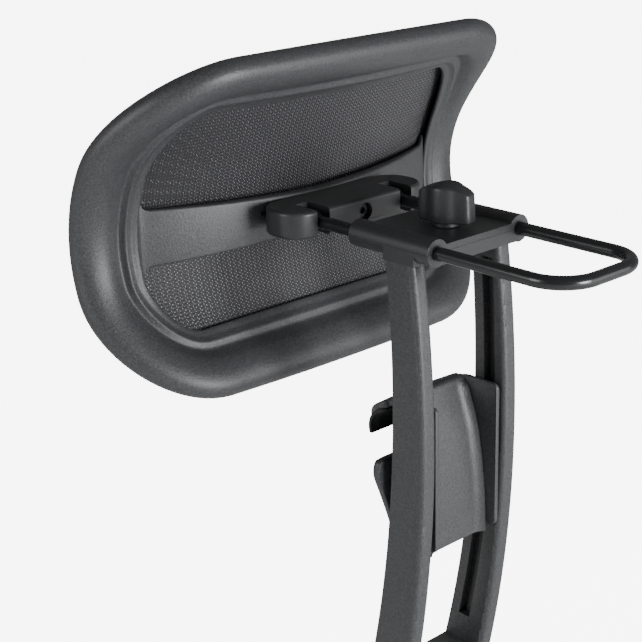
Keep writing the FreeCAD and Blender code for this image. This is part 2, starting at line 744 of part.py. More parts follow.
def make_tension_screw():
    """The socket-head screw that squeezes the housing on to the pins."""
    head = cylinder("tension_head", ("0", "housing_rear - socket_depth", "rod_z"),
                    "tension_head_radius", "tension_head_height", ALONG_Y)
    shank = cylinder("tension_shank", ("0", "housing_front + overshoot", "rod_z"), "tension_shank_radius",
                     "housing_rear - housing_front - socket_depth", ALONG_Y)
    key = hexagon("tension_key", ("0", "housing_rear - socket_depth + tension_head_height / 2", "rod_z"),
                  "tension_key_radius", "tension_head_height", ALONG_Y)
    return cut("tension_screw", fuse("tension_whole", head, shank), key)


def make_tension_nut():
    nut = hexagon("tension_nut_blank", ("0", "housing_front + tension_nut_height / 2", "rod_z"),
                  "tension_nut_radius", "tension_nut_height", ALONG_Y)
    bore = cylinder("tension_nut_bore", ("0", "housing_front", "rod_z"), "tension_shank_radius",
                    "3 * tension_nut_height", ALONG_Y)
    return cut("tension_nut", nut, bore)


def housing_screw_set(name):
    """Four screws from the front of the crossbar into the housing."""
    screws = []
    for i, x in enumerate((-48, -14, 14, 48), start=1):
        hollow = f"(crossbar_front_radius - sqrt(crossbar_front_radius ^ 2 - {x * x}))"
        start = f"crossbar_front_y - {hollow} - overshoot"
        head = cylinder(f"{name}_head_{i}", (str(x), start, "rod_z"),
                        "housing_screw_head", "housing_screw_head_height", ALONG_Y)
        shank = cylinder(f"{name}_shank_{i}", (str(x), f"{start} + overshoot", "rod_z"),
                         "housing_screw_shank", "housing_screw_length", ALONG_Y)
        screws.append(fuse(f"{name}_{i}", head, shank))
    return group(name, screws)


# ---- the headrest: saddle-shaped frame, mesh and its carrier -----------------------------------

def saddle_point(x, z):
    """A point of the mid surface: hollow in plan, and bowed to the rear above and below."""
    rise = z - size("ring_z")
    radius = size("plan_radius")
    fade = 1 - size("plan_fade") * (rise / size("fade_height")) ** 2
    hollow = (radius - math.sqrt(radius ** 2 - x ** 2)) * fade
    bow = size("side_bow") * rise ** 2 + size("side_flare") * rise ** 4 + size("side_lean") * rise
    return Vector(x, size("ring_y") - hollow + bow, z)


def saddle_normal(x, z):
    """The mid surface's normal, which points to the rear."""
    step = 0.5
    along_x = saddle_point(x + step, z) - saddle_point(x - step, z)
    along_z = saddle_point(x, z + step) - saddle_point(x, z - step)
    return along_z.cross(along_x).normalize()


def ring_path(distance):
    """The point at this share of the way round the ring's rounded rectangle."""
    half_x = size("ring_half_width")
    half_z = size("ring_half_height")
    corner = size("ring_corner")
    flat_x, flat_z = half_x - corner, half_z - corner
    quarter = math.pi / 2 * corner
    total = 4 * (flat_x + flat_z + quarter)
    walk = (distance % 1.0) * total
    pieces = [(flat_z, "side"), (quarter, 0), (2 * flat_x, "top"), (quarter, 1), (2 * flat_z, "far"),
              (quarter, 2), (2 * flat_x, "bottom"), (quarter, 3), (flat_z, "side_end")]
    for length, kind in pieces:
        if walk <= length:
            break
        walk -= length
    centre = size("ring_z")
    if kind == "side":
        return half_x, centre + walk
    if kind == "top":
        return flat_x - walk, centre + half_z
    if kind == "far":
        return -half_x, centre + flat_z - walk
    if kind == "bottom":
        return -flat_x + walk, centre - half_z
    if kind == "side_end":
        return half_x, centre - flat_z + walk
    signs = ((1, 1), (-1, 1), (-1, -1), (1, -1))[kind]
    angle = math.pi / 2 * (kind + walk / quarter)
    x = signs[0] * flat_x + corner * math.cos(angle)
    return x, centre + signs[1] * flat_z + corner * math.sin(angle)


def ring_section(share, profile):
    """The points of a profile, set square to the ring at this share of the way round.

    The inner lip reaches further in above and below than at the sides.
    """
    centre = saddle_point(*ring_path(share))
    ahead = saddle_point(*ring_path(share + 0.001)) - saddle_point(*ring_path(share - 0.001))
    along = ahead.normalize()
    normal = saddle_normal(*ring_path(share))
    normal = (normal - along * normal.dot(along)).normalize()
    outward = normal.cross(along)
    if outward.dot(Vector(centre.x, 0, centre.z - size("ring_z"))) < 0:
        outward = outward * -1
    reach = size("lip_reach_side") + (size("lip_reach_end") - size("lip_reach_side")) * outward.z ** 2
    return [centre + outward * (u * reach if u < 0 else u) + normal * v for u, v in profile]


RING_SECTIONS = 44
# Each profile is (outward, rearward) from the ring's centre line, in millimetres.
RIM_PROFILE = [(16.5, 0.4), (13.5, 6.0), (6.0, 9.4), (-3.0, 8.8), (-10.0, 5.6), (-14.4, 3.4), (-17.5, 4.2),
               (-20.4, 2.8), (-20.6, -0.2), (-17.5, -1.8), (-10.0, -2.3), (-3.2, -2.6), (0.4, -6.0),
               (5.2, -9.2), (11.8, -7.6), (15.6, -3.8)]
CARRIER_PROFILE = [(-19.6, -5.3), (-17.4, -3.5), (-10.5, -3.3), (-4.4, -3.8), (-2.6, -5.6), (-4.2, -7.6),
                   (-10.5, -8.0), (-17.4, -7.3)]


def closed_ring(profile):
    """A solid tube of the profile all the way round the ring, on one doubly periodic surface."""
    poles = [ring_section(i / RING_SECTIONS, profile) for i in range(RING_SECTIONS)]
    along, around = len(poles), len(profile)
    surface = Part.BSplineSurface()
    surface.buildFromPolesMultsKnots(
        poles, [1] * (along + 1), [1] * (around + 1), list(range(along + 1)), list(range(around + 1)),
        True, True, 3, 3)
    solid = Part.makeSolid(Part.makeShell([surface.toShape()]))
    return solid if solid.Volume > 0 else solid.reversed()


def make_frame(carrier):
    """The moulded frame: the rolled rim, with the crossbar fused across it and room for the carrier."""
    rim = doc.addObject("Part::Feature", "frame_rim")
    rim.Shape = closed_ring(RIM_PROFILE)
    rear = cylinder("crossbar_rear", ("0", "crossbar_rear_y - crossbar_rear_radius", "rod_z - ring_corner"),
                    "crossbar_rear_radius", "2 * ring_corner")
    front = cylinder("crossbar_front", ("0", "crossbar_front_y - crossbar_front_radius",
                                        "rod_z - ring_corner - overshoot"),
                     "crossbar_front_radius", "2 * (ring_corner + overshoot)")
    shell = cut("crossbar_shell", rear, front)
    strip = outline("crossbar_outline", [
        ("-crossbar_half_width", "rod_z - crossbar_end_below"),
        ("0", "rod_z - crossbar_below"),
        ("crossbar_half_width", "rod_z - crossbar_end_below"),
        ("crossbar_half_width", "rod_z + crossbar_end_above"),
        ("0", "rod_z + crossbar_above"),
        ("-crossbar_half_width", "rod_z + crossbar_end_above")],
        FACING_FRONT, ("0", "0", "0"), "crossbar_rear_radius")
    crossbar = common("crossbar", shell, strip)
    seat = box("housing_seat", ("-housing_half_length + seat_margin", "housing_front - seat_depth_on_bar",
                                "rod_z - housing_half_height + weld_overlap"),
               ("2 * (housing_half_length - seat_margin)", "seat_depth_on_bar",
                "2 * (housing_half_height - weld_overlap)"))
    whole = fuse("frame_whole", rim, crossbar, seat)
    return cut("headrest_frame", whole, housing_block("frame_housing_room"),
               housing_screw_set("frame_screw_hole"), carrier)


def make_carrier():
    """The ring that the mesh is moulded into, which snaps into the front of the frame."""
    carrier = doc.addObject("Part::Feature", "mesh_carrier")
    carrier.Shape = closed_ring(CARRIER_PROFILE)
    return carrier


def offset_surface(offset, half_x, half_z):
    """The mid surface moved along its normal, over a rectangle about the ring's centre."""
    columns, rows = 21, 15
    grid = []
    for i in range(columns):
        x = -half_x + 2 * half_x * i / (columns - 1)
        column = []
        for j in range(rows):
            z = size("ring_z") - half_z + 2 * half_z * j / (rows - 1)
            column.append(saddle_point(x, z) + saddle_normal(x, z) * offset)
        grid.append(column)
    surface = Part.BSplineSurface()
    surface.interpolate(grid)
    return surface.toShape()


def make_mesh():
    """The stretched woven panel, as one thin saddle-shaped solid inside the carrier."""
    half_x = size("ring_half_width") - size("mesh_margin") / 2
    half_z = size("ring_half_height") - size("mesh_margin") / 2
    rear = offset_surface(size("mesh_rear_offset"), half_x, half_z)
    front = offset_surface(size("mesh_front_offset"), half_x, half_z)
    sides = [Part.makeRuledSurface(a, b) for a, b in zip(rear.Edges, front.Edges)]
    slab = Part.makeSolid(Part.makeShell(sides + [rear, front]))
    middle = (size("mesh_rear_offset") + size("mesh_front_offset")) / 2
    front_plane = -size("crossbar_rear_radius")
    rim = []
    for i in range(RING_SECTIONS):
        spot = ring_section(i / RING_SECTIONS, [(-size("mesh_margin"), middle)])[0]
        rim.append(Vector(spot.x, front_plane, spot.z))
    curve = Part.BSplineCurve()
    curve.interpolate(rim, PeriodicFlag=True)
    prism = Part.Face(Part.Wire([curve.toShape()])).extrude(Vector(0, -front_plane, 0))
    panel = doc.addObject("Part::Feature", "headrest_mesh")
    panel.Shape = slab.common(prism).Solids[0]
    return panel


# ---- the document ------------------------------------------------------------------------------

def make_parts():
    fill_sheet()
    post_left = make_post("post_left")
    strip_left = make_strip("friction_strip_left")
    shoe_left = make_shoe("guide_shoe_left", mirrored=False)
    carrier = make_carrier()
    return [
        make_saddle_base(), make_saddle_cover(), make_rail_pad(), make_back_pad(),
        shoe_left, make_shoe("guide_shoe_right", mirrored=True),
        saddle_screw_set("saddle_screws"), shoe_screw_set("shoe_screws"),
        post_left, mirror("post_right", post_left), strip_left, mirror("friction_strip_right", strip_left),
        make_bridge(), bridge_screw_set("bridge_screws"), make_clamp_upper(), make_clamp_lower(),
        make_clamp_nut(), make_rod_liners(), cross_screws("post_screws"),
        make_knob(), make_knob_stud(), make_knob_washer(),
        make_rod(), make_rod_eyes(),
        make_frame(carrier), carrier, make_mesh(), make_housing(), group("pivot_pins", tilt_pins("pin")),
        make_friction_washers(), make_tension_screw(), make_tension_nut(),
        housing_screw_set("housing_screws"),
    ]


def check(parts):
    """Stop if any object failed to compute or any sub-part is not a sound solid."""
    for obj in doc.Objects:
        if {"Invalid", "Error"} & set(obj.State):
            raise RuntimeError(f"{obj.Label} failed: {obj.State}")
    for part in parts:
        shape = part.Shape
        if shape.isNull() or not shape.isValid() or not shape.Solids:
            raise RuntimeError(f"{part.Label} is not a valid solid")


def export(parts):
    os.makedirs("parts", exist_ok=True)
    for part in parts:
        part.Shape.exportStep(os.path.join("parts", part.Label + ".step"))
        print(f"{part.Label}: {part.Shape.Volume / 1000:.2f} cm3, {len(part.Shape.Solids)} solids")


parts = make_parts()
doc.recompute()
check(parts)
export(parts)
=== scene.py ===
# %% [markdown]
# A clip-on headrest for an office chair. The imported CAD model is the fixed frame: it holds the
# sizes, the joints and the bodies. This file gives each visible surface its final shape and
# finish. Blender works in metres, but the profiles of moulded parts are written in millimetres,
# as on a drawing, and are turned into metres when their mesh is made.

# %% Load the frame
import math

import bmesh
import bpy
import numpy as np
from mathutils import Matrix, Vector


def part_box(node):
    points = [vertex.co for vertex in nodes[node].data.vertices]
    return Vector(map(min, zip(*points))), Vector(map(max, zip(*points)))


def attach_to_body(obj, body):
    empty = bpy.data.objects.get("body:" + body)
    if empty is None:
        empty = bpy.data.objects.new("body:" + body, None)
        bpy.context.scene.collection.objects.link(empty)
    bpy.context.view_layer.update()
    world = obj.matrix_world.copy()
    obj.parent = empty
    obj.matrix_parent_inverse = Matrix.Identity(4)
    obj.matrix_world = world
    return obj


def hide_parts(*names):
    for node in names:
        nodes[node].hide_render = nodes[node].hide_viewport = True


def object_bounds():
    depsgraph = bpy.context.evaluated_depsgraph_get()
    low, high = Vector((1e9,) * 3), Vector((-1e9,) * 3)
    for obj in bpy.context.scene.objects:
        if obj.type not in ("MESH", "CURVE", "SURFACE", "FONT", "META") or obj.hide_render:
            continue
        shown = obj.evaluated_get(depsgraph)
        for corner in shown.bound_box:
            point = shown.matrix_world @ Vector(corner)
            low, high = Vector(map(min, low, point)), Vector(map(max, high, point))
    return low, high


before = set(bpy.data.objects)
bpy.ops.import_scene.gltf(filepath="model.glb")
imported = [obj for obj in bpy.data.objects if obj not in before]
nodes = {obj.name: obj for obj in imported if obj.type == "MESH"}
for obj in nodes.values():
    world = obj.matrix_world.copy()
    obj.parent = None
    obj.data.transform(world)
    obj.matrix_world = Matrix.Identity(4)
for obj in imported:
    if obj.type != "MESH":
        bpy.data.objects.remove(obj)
cad_box = [list(corner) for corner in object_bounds()]
print("CAD box", cad_box)

# %% [markdown]
# The camera stands behind the chair, above its left shoulder, with a long lens that keeps the
# two posts nearly parallel. It is built from an azimuth, an elevation and a small roll.

# %% Camera
AZIMUTH = math.radians(138.2)
ELEVATION = math.radians(19.56)
ROLL = math.radians(-1.56)
CAMERA_PLACE = Vector((0.60373, 0.58183, 0.38378))

ahead = Vector((-math.sin(AZIMUTH) * math.cos(ELEVATION), math.cos(AZIMUTH) * math.cos(ELEVATION),
                -math.sin(ELEVATION)))
level = Vector((math.cos(AZIMUTH), math.sin(AZIMUTH), 0))
upright = level.cross(ahead)
right = level * math.cos(ROLL) + upright * math.sin(ROLL)
up = upright * math.cos(ROLL) - level * math.sin(ROLL)

camera_data = bpy.data.cameras.new("camera")
camera_data.sensor_width = 36
camera_data.lens = 81.71
camera = bpy.data.objects.new("camera", camera_data)
camera.matrix_world = Matrix((right, up, -ahead)).transposed().to_4x4()
camera.location = CAMERA_PLACE
bpy.context.scene.collection.objects.link(camera)
bpy.context.scene.camera = camera
print("camera looks along", tuple(round(v, 3) for v in ahead))

# %% [markdown]
# Every finish below is a small tree of shader nodes. One function adds a node with its settings
# and its links, so each tree reads as a list of steps. Colours are written as sRGB hex values,
# the way a paint chart gives them, and one function turns them into the linear values that
# the renderer works in.

# %% Colour and node helpers
def linear(hex_colour):
    """An sRGB hex colour as linear RGBA."""
    channels = [int(hex_colour[i:i + 2], 16) / 255 for i in (1, 3, 5)]
    return [c / 12.92 if c <= 0.04045 else ((c + 0.055) / 1.055) ** 2.4 for c in channels] + [1]


def add_node(tree, kind, inputs=None, **settings):
    """Add a node to a shader or geometry tree; an input is a value or another node's socket."""
    node = tree.nodes.new(kind)
    for name, value in settings.items():
        setattr(node, name, value)
    for name, value in (inputs or {}).items():
        if isinstance(value, bpy.types.NodeSocket):
            tree.links.new(value, node.inputs[name])
        else:
            node.inputs[name].default_value = value
    return node


def new_finish(name, **principled):
    """An empty material tree with one Principled shader; returns the material and the shader."""
    material = bpy.data.materials.new(name)
    material.use_nodes = True
    tree = material.node_tree
    shader = tree.nodes["Principled BSDF"]
    for socket, value in principled.items():
        shader.inputs[socket.replace("_", " ")].default_value = value
    return material, tree, shader


MILLIMETRE = 0.001
print("charcoal", [round(c, 4) for c in linear("#46474a")])

# %% [markdown]
# Most of the headrest is glass-filled nylon, moulded against a spark-eroded steel cavity. Up
# close the surface is a field of tiny pits and bumps, so lit areas sparkle and look lighter than
# the shaded ones, and nothing reflects sharply. The real grain is about 0.3 mm wide; here it is
# drawn at up to 1.1 mm, because anything finer would vanish at this distance. The same tree with
# a finer, shallower grain gives the smoother parts, such as the clamp and the knob.

# %% Moulded plastics
def grained_plastic(name, dark, light, grain_mm, depth_mm, roughness):
    """A moulded plastic whose grain shows in its colour and its relief, with a slow drift in gloss."""
    material, tree, shader = new_finish(name, IOR=1.5)
    place = add_node(tree, "ShaderNodeTexCoord").outputs["Object"]
    grain = add_node(tree, "ShaderNodeTexNoise", {"Vector": place, "Scale": 1 / (grain_mm * MILLIMETRE),
                                                  "Detail": 3.0, "Roughness": 0.6})
    flow = add_node(tree, "ShaderNodeTexNoise", {"Vector": place, "Scale": 14.0, "Detail": 2.0})
    speckle = add_node(tree, "ShaderNodeMapRange", {"Value": grain.outputs["Fac"], "From Min": 0.35,
                                                    "From Max": 0.68})
    tint = add_node(tree, "ShaderNodeMix", {"Factor": speckle.outputs["Result"]}, data_type="RGBA")
    tint.inputs["A"].default_value = linear(dark)
    tint.inputs["B"].default_value = linear(light)
    gloss = add_node(tree, "ShaderNodeMapRange", {"Value": flow.outputs["Fac"], "To Min": roughness - 0.05,
                                                  "To Max": roughness + 0.06})
    relief = add_node(tree, "ShaderNodeBump", {"Height": grain.outputs["Fac"], "Strength": 0.8,
                                               "Distance": depth_mm * MILLIMETRE})
    tree.links.new(tint.outputs["Result"], shader.inputs["Base Color"])
    tree.links.new(gloss.outputs["Result"], shader.inputs["Roughness"])
    tree.links.new(relief.outputs["Normal"], shader.inputs["Normal"])
    return material


spark_eroded_nylon = grained_plastic("spark_eroded_glass_filled_nylon", "#2c2d2f", "#434446", 1.1, 0.26, 0.44)
satin_nylon = grained_plastic("satin_moulded_nylon", "#262729", "#313234", 0.7, 0.07, 0.40)
knob_plastic = grained_plastic("fine_grained_knob_nylon", "#232426", "#2c2d2f", 0.6, 0.05, 0.42)
acetal = grained_plastic("natural_black_acetal", "#101112", "#18191a", 0.5, 0.02, 0.33)
rubber = grained_plastic("moulded_pad_rubber", "#17181a", "#232426", 0.8, 0.10, 0.80)
print("plastics", spark_eroded_nylon.name, satin_nylon.name, knob_plastic.name)

# %% [markdown]
# The metal parts are steel. The U-shaped rod has a black electro-dipped coat: dark, smooth and
# glossy enough for one sharp line of light along each bend. The screws are black zinc, a thin
# dark metal plating, and the tilt pins are ground bright; their fine grinding lines are not drawn.

# %% Metals
def coated_steel(name, colour, roughness, metallic):
    """Steel with a thin coat, whose gloss varies a little along it."""
    material, tree, shader = new_finish(name, Metallic=metallic)
    shader.inputs["Base Color"].default_value = linear(colour)
    place = add_node(tree, "ShaderNodeTexCoord").outputs["Object"]
    orange_peel = add_node(tree, "ShaderNodeTexNoise", {"Vector": place, "Scale": 1 / (2.5 * MILLIMETRE),
                                                        "Detail": 2.0})
    gloss = add_node(tree, "ShaderNodeMapRange", {"Value": orange_peel.outputs["Fac"],
                                                  "To Min": roughness - 0.04, "To Max": roughness + 0.05})
    relief = add_node(tree, "ShaderNodeBump", {"Height": orange_peel.outputs["Fac"], "Strength": 0.25,
                                               "Distance": 0.02 * MILLIMETRE})
    tree.links.new(gloss.outputs["Result"], shader.inputs["Roughness"])
    tree.links.new(relief.outputs["Normal"], shader.inputs["Normal"])
    return material


dipped_steel = coated_steel("black_electro_dipped_steel", "#1b1c1e", 0.24, 0.0)
black_zinc = coated_steel("black_zinc_plated_steel", "#3a3b3e", 0.34, 1.0)
ground_steel = coated_steel("ground_steel_pin", "#9a9b9f", 0.22, 1.0)
print("metals", dipped_steel.name, black_zinc.name, ground_steel.name)

# %% [markdown]
# The panel is an open textile: elastic strands run across it, and bright polyester yarn is
# looped round them in pairs of columns. From a metre away it reads as a dark ground with rows of
# small light stitches. The ground below is dark and finely ribbed; the stitches are real
# geometry, made later. Real stitches are finer than these, which are drawn about 2 mm apart so
# that each one still shows.

# %% Textile finishes
STITCH_ACROSS = 1.85 * MILLIMETRE
STITCH_DOWN = 2.15 * MILLIMETRE


def strand_ground(name):
    """Dark elastic strands side by side, as ribs across the panel with gaps between them."""
    material, tree, shader = new_finish(name, Roughness=0.6, Sheen_Weight=0.15)
    place = add_node(tree, "ShaderNodeTexCoord").outputs["Object"]
    strands = add_node(tree, "ShaderNodeTexWave", {"Vector": place, "Scale": math.pi / (10 * STITCH_DOWN),
                                                   "Distortion": 0.0}, bands_direction="Z")
    columns = add_node(tree, "ShaderNodeTexWave", {"Vector": place, "Scale": math.pi / (10 * STITCH_ACROSS),
                                                   "Distortion": 0.0}, bands_direction="X")
    weave = add_node(tree, "ShaderNodeMath", {0: strands.outputs["Fac"], 1: columns.outputs["Fac"]},
                     operation="MULTIPLY")
    tint = add_node(tree, "ShaderNodeMix", {"Factor": weave.outputs["Value"]}, data_type="RGBA")
    tint.inputs["A"].default_value = linear("#0b0b0d")
    tint.inputs["B"].default_value = linear("#2a2a30")
    relief = add_node(tree, "ShaderNodeBump", {"Height": weave.outputs["Value"], "Strength": 0.7,
                                               "Distance": 0.4 * MILLIMETRE})
    tree.links.new(tint.outputs["Result"], shader.inputs["Base Color"])
    tree.links.new(relief.outputs["Normal"], shader.inputs["Normal"])
    return material


def polyester_yarn(name):
    """Silvery grey yarn whose stitches differ a little from each other."""
    material, tree, shader = new_finish(name, Roughness=0.38, Sheen_Weight=0.3, IOR=1.57)
    place = add_node(tree, "ShaderNodeTexCoord").outputs["Object"]
    batch = add_node(tree, "ShaderNodeTexNoise", {"Vector": place, "Scale": 1 / (5 * MILLIMETRE),
                                                  "Detail": 1.0})
    tint = add_node(tree, "ShaderNodeMix", {"Factor": batch.outputs["Fac"]}, data_type="RGBA")
    tint.inputs["A"].default_value = linear("#8d8e97")
    tint.inputs["B"].default_value = linear("#dcdde4")
    tree.links.new(tint.outputs["Result"], shader.inputs["Base Color"])
    return material


elastic_ground = strand_ground("woven_elastomer_strands")
stitch_yarn = polyester_yarn("polyester_stitch_yarn")
print("textile", elastic_ground.name, stitch_yarn.name)

# %% [markdown]
# Pieces are built as meshes from points and faces. Most are grids: rows of points, joined by
# quads, that close on themselves. These helpers make the quads, turn points and faces into an
# object, and tie the object to the body that it moves with.

# %% Mesh helpers
def grid_faces(rows, columns, wrap_rows=False, wrap_columns=False):
    """The quads of a grid of points that is stored row by row."""
    faces = []
    for i in range(rows if wrap_rows else rows - 1):
        for j in range(columns if wrap_columns else columns - 1):
            below, beside = (i + 1) % rows, (j + 1) % columns
            faces.append((i * columns + j, i * columns + beside,
                          below * columns + beside, below * columns + j))
    return faces


def end_caps(rows, columns):
    """The two n-gons that close a tube whose rows are its rings."""
    return [tuple(range(columns))[::-1], tuple((rows - 1) * columns + j for j in range(columns))]


def make_object(name, points, faces, finish, crease=40):
    """A closed mesh with outward faces, smooth except where it turns sharper than crease."""
    data = bpy.data.meshes.new(name)
    data.from_pydata([tuple(p) for p in points], [], faces)
    work = bmesh.new()
    work.from_mesh(data)
    bmesh.ops.remove_doubles(work, verts=work.verts, dist=1e-6)
    bmesh.ops.recalc_face_normals(work, faces=work.faces)
    work.to_mesh(data)
    work.free()
    data.shade_smooth()
    data.set_sharp_from_angle(angle=math.radians(crease))
    data.materials.append(finish)
    piece = bpy.data.objects.new(name, data)
    bpy.context.scene.collection.objects.link(piece)
    return piece


def attach(piece, body, slot, *replaced):
    """Let a piece ride on a body and stand for CAD nodes; its slot is not used."""
    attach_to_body(piece, body)
    if replaced:
        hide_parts(*replaced)
    print(piece.name, len(piece.data.polygons), "faces, on", body)


def closed_spline(points, steps):
    """A smooth closed line through the points, with this many steps between neighbours."""
    points = np.array(points, float)
    before, after, beyond = np.roll(points, 1, 0), np.roll(points, -1, 0), np.roll(points, -2, 0)
    share = (np.arange(steps) / steps)[:, None, None]
    line = 0.5 * (2 * points + (after - before) * share
                  + (2 * before - 5 * points + 4 * after - beyond) * share ** 2
                  + (3 * points - before - 3 * after + beyond) * share ** 3)
    return line.transpose(1, 0, 2).reshape(-1, points.shape[1])


def pulled_in(outline, inset):
    """A closed outline with each point moved towards its middle by this much."""
    outward = outline - outline.mean(0)
    outward /= np.linalg.norm(outward, axis=1)[:, None]
    return outline - outward * inset


print("grid of 3 x 4 closed both ways:", len(grid_faces(3, 4, True, True)), "quads")

# %% [markdown]
# The headrest's frame lies on a saddle-shaped surface: seen from above it is hollow towards the
# head, and seen from the side its top and bottom bow to the rear. These functions repeat the
# CAD model's rule for that surface. The ring's centre line is a rounded rectangle laid on it.

# %% The saddle surface
RING_HALF_WIDTH = 0.1458
RING_HALF_HEIGHT = 0.0911
RING_CORNER = 0.054
RING_CENTRE_Z = 0.1473
RING_Y = -0.100
PLAN_RADIUS = 0.386
PLAN_FADE = 0.78
FADE_HEIGHT = 0.090
SIDE_BOW = 3.5
SIDE_FLARE = 50.0
SIDE_LEAN = 0.13
SURFACE_STEP = 0.0005


def saddle_point(x, z):
    """The point of the middle surface at this x and z."""
    rise = z - RING_CENTRE_Z
    fade = 1 - PLAN_FADE * (rise / FADE_HEIGHT) ** 2
    hollow = (PLAN_RADIUS - math.sqrt(PLAN_RADIUS ** 2 - x ** 2)) * fade
    return Vector((x, RING_Y - hollow + SIDE_BOW * rise ** 2 + SIDE_FLARE * rise ** 4 + SIDE_LEAN * rise, z))


def saddle_normal(x, z):
    """The surface's normal, pointing to the rear."""
    across = saddle_point(x + SURFACE_STEP, z) - saddle_point(x - SURFACE_STEP, z)
    upward = saddle_point(x, z + SURFACE_STEP) - saddle_point(x, z - SURFACE_STEP)
    return upward.cross(across).normalized()


def ring_place(share):
    """X and z of the ring's centre line at this share of the way round."""
    flat_x, flat_z = RING_HALF_WIDTH - RING_CORNER, RING_HALF_HEIGHT - RING_CORNER
    quarter = math.pi / 2 * RING_CORNER
    walk = (share % 1) * 4 * (flat_x + flat_z + quarter)
    stretches = [flat_z, quarter, 2 * flat_x, quarter, 2 * flat_z, quarter, 2 * flat_x, quarter, flat_z]
    for number, length in enumerate(stretches):
        if walk <= length:
            break
        walk -= length
    if number % 2:
        angle = math.pi / 2 * (number // 2 + walk / quarter)
        side, top = ((1, 1), (-1, 1), (-1, -1), (1, -1))[number // 2]
        return (side * flat_x + RING_CORNER * math.cos(angle),
                RING_CENTRE_Z + top * flat_z + RING_CORNER * math.sin(angle))
    return {0: (RING_HALF_WIDTH, RING_CENTRE_Z + walk),
            2: (flat_x - walk, RING_CENTRE_Z + RING_HALF_HEIGHT),
            4: (-RING_HALF_WIDTH, RING_CENTRE_Z + flat_z - walk),
            6: (-flat_x + walk, RING_CENTRE_Z - RING_HALF_HEIGHT),
            8: (RING_HALF_WIDTH, RING_CENTRE_Z - flat_z + walk)}[number]


print("middle of the surface", tuple(round(c, 4) for c in saddle_point(0, RING_CENTRE_Z)))

# %% Sections round the ring
RING_STEP = 0.001
LIP_REACH_ENDS = 1.24
BEAD_LOSS_ENDS = 0.7


def ring_frame(share):
    """Centre, outward and rearward directions of the ring's section at this share."""
    centre = saddle_point(*ring_place(share))
    ahead_spot, behind_spot = ring_place(share + RING_STEP), ring_place(share - RING_STEP)
    along = (saddle_point(*ahead_spot) - saddle_point(*behind_spot)).normalized()
    rearward = saddle_normal(*ring_place(share))
    rearward = (rearward - along * rearward.dot(along)).normalized()
    outward = rearward.cross(along)
    if outward.dot(Vector((centre.x, 0, centre.z - RING_CENTRE_Z))) < 0:
        outward = -outward
    return centre, outward, rearward


def ring_points(share, profile):
    """A profile of (outward, rearward, bead) millimetres, set square to the ring."""
    centre, outward, rearward = ring_frame(share)
    inner_reach = 1 + (LIP_REACH_ENDS - 1) * outward.z ** 2
    bead_fade = 1 - BEAD_LOSS_ENDS * outward.z ** 2
    points = []
    for u, v, bead in profile:
        reach = u * inner_reach if u < 0 else u
        points.append(centre + outward * reach * MILLIMETRE + rearward * (v + bead * bead_fade) * MILLIMETRE)
    return points


ring_top = saddle_point(0, RING_CENTRE_Z + RING_HALF_HEIGHT)
print("top of the ring's centre line", tuple(round(c, 4) for c in ring_top))

# %% [markdown]
# The rim is one closed section swept round the ring. Its rear face is a fat roll, then a valley,
# a thin raised bead and a flat land that ends in a rounded lip at the window. The bead fades out
# above and below, where the lip reaches further in. The section is a smooth closed line through
# a few points, each with its share of the bead, and it is swept in small steps because its long
# highlights show any flat spot.

# %% The rolled rim
RIM_SECTION = [(16.5, 0.0, 0), (15.4, 4.4, 0), (11.8, 7.9, 0), (6.2, 9.6, 0), (0.2, 9.5, 0), (-5.0, 8.0, 0),
               (-9.4, 5.0, 0), (-12.4, 3.3, -0.4), (-14.6, 3.2, 0.6), (-16.6, 3.3, 1.8), (-18.6, 3.3, 0.8),
               (-20.4, 3.2, 0), (-22.6, 3.1, 0), (-24.4, 2.7, 0), (-25.1, 1.5, 0), (-24.4, 0.2, 0),
               (-20.0, -1.9, 0), (-11.0, -2.4, 0), (-4.4, -2.8, 0), (-0.4, -5.6, 0), (5.2, -8.8, 0),
               (11.4, -7.9, 0), (15.2, -4.4, 0)]
RIM_STATIONS, RIM_STEPS = 220, 4


def make_rim():
    section = closed_spline(RIM_SECTION, RIM_STEPS)
    points = [p for i in range(RIM_STATIONS) for p in ring_points(i / RIM_STATIONS, section)]
    return make_object("headrest_rim", points, grid_faces(RIM_STATIONS, len(section), True, True),
                       spark_eroded_nylon, crease=60)


rim = make_rim()
attach(rim, "headrest", "frame_plastic", "headrest_frame")

# %% [markdown]
# The crossbar is moulded in one with the rim and carries the pivot housing. It is a curved plate
# with rounded edges, higher at its ends, and it flares into the window's lip in a small fillet.
# It is a grid: stations from side to side, each a rounded rectangle that follows the bar's
# curved rear and front faces. Its ends dip under the rim's land, which hides them.

# %% The crossbar
BAR_HALF_WIDTH = 0.130
BAR_REAR_Y, BAR_REAR_RADIUS = -0.086, 0.252
BAR_FRONT_Y, BAR_FRONT_RADIUS = -0.094, 0.289
BAR_CENTRE_Z = 0.145
BAR_ABOVE, BAR_END_ABOVE = 0.0094, 0.0121
BAR_BELOW, BAR_END_BELOW = 0.0146, 0.0238
BAR_EDGE = 0.0016
LIP_X = 0.1212
FLARE_RADIUS = 0.0055
BAR_DIP, DIP_LENGTH = 0.0009, 0.003
BAR_STATIONS, FLARE_STEPS, EDGE_STEPS = 24, 8, 4


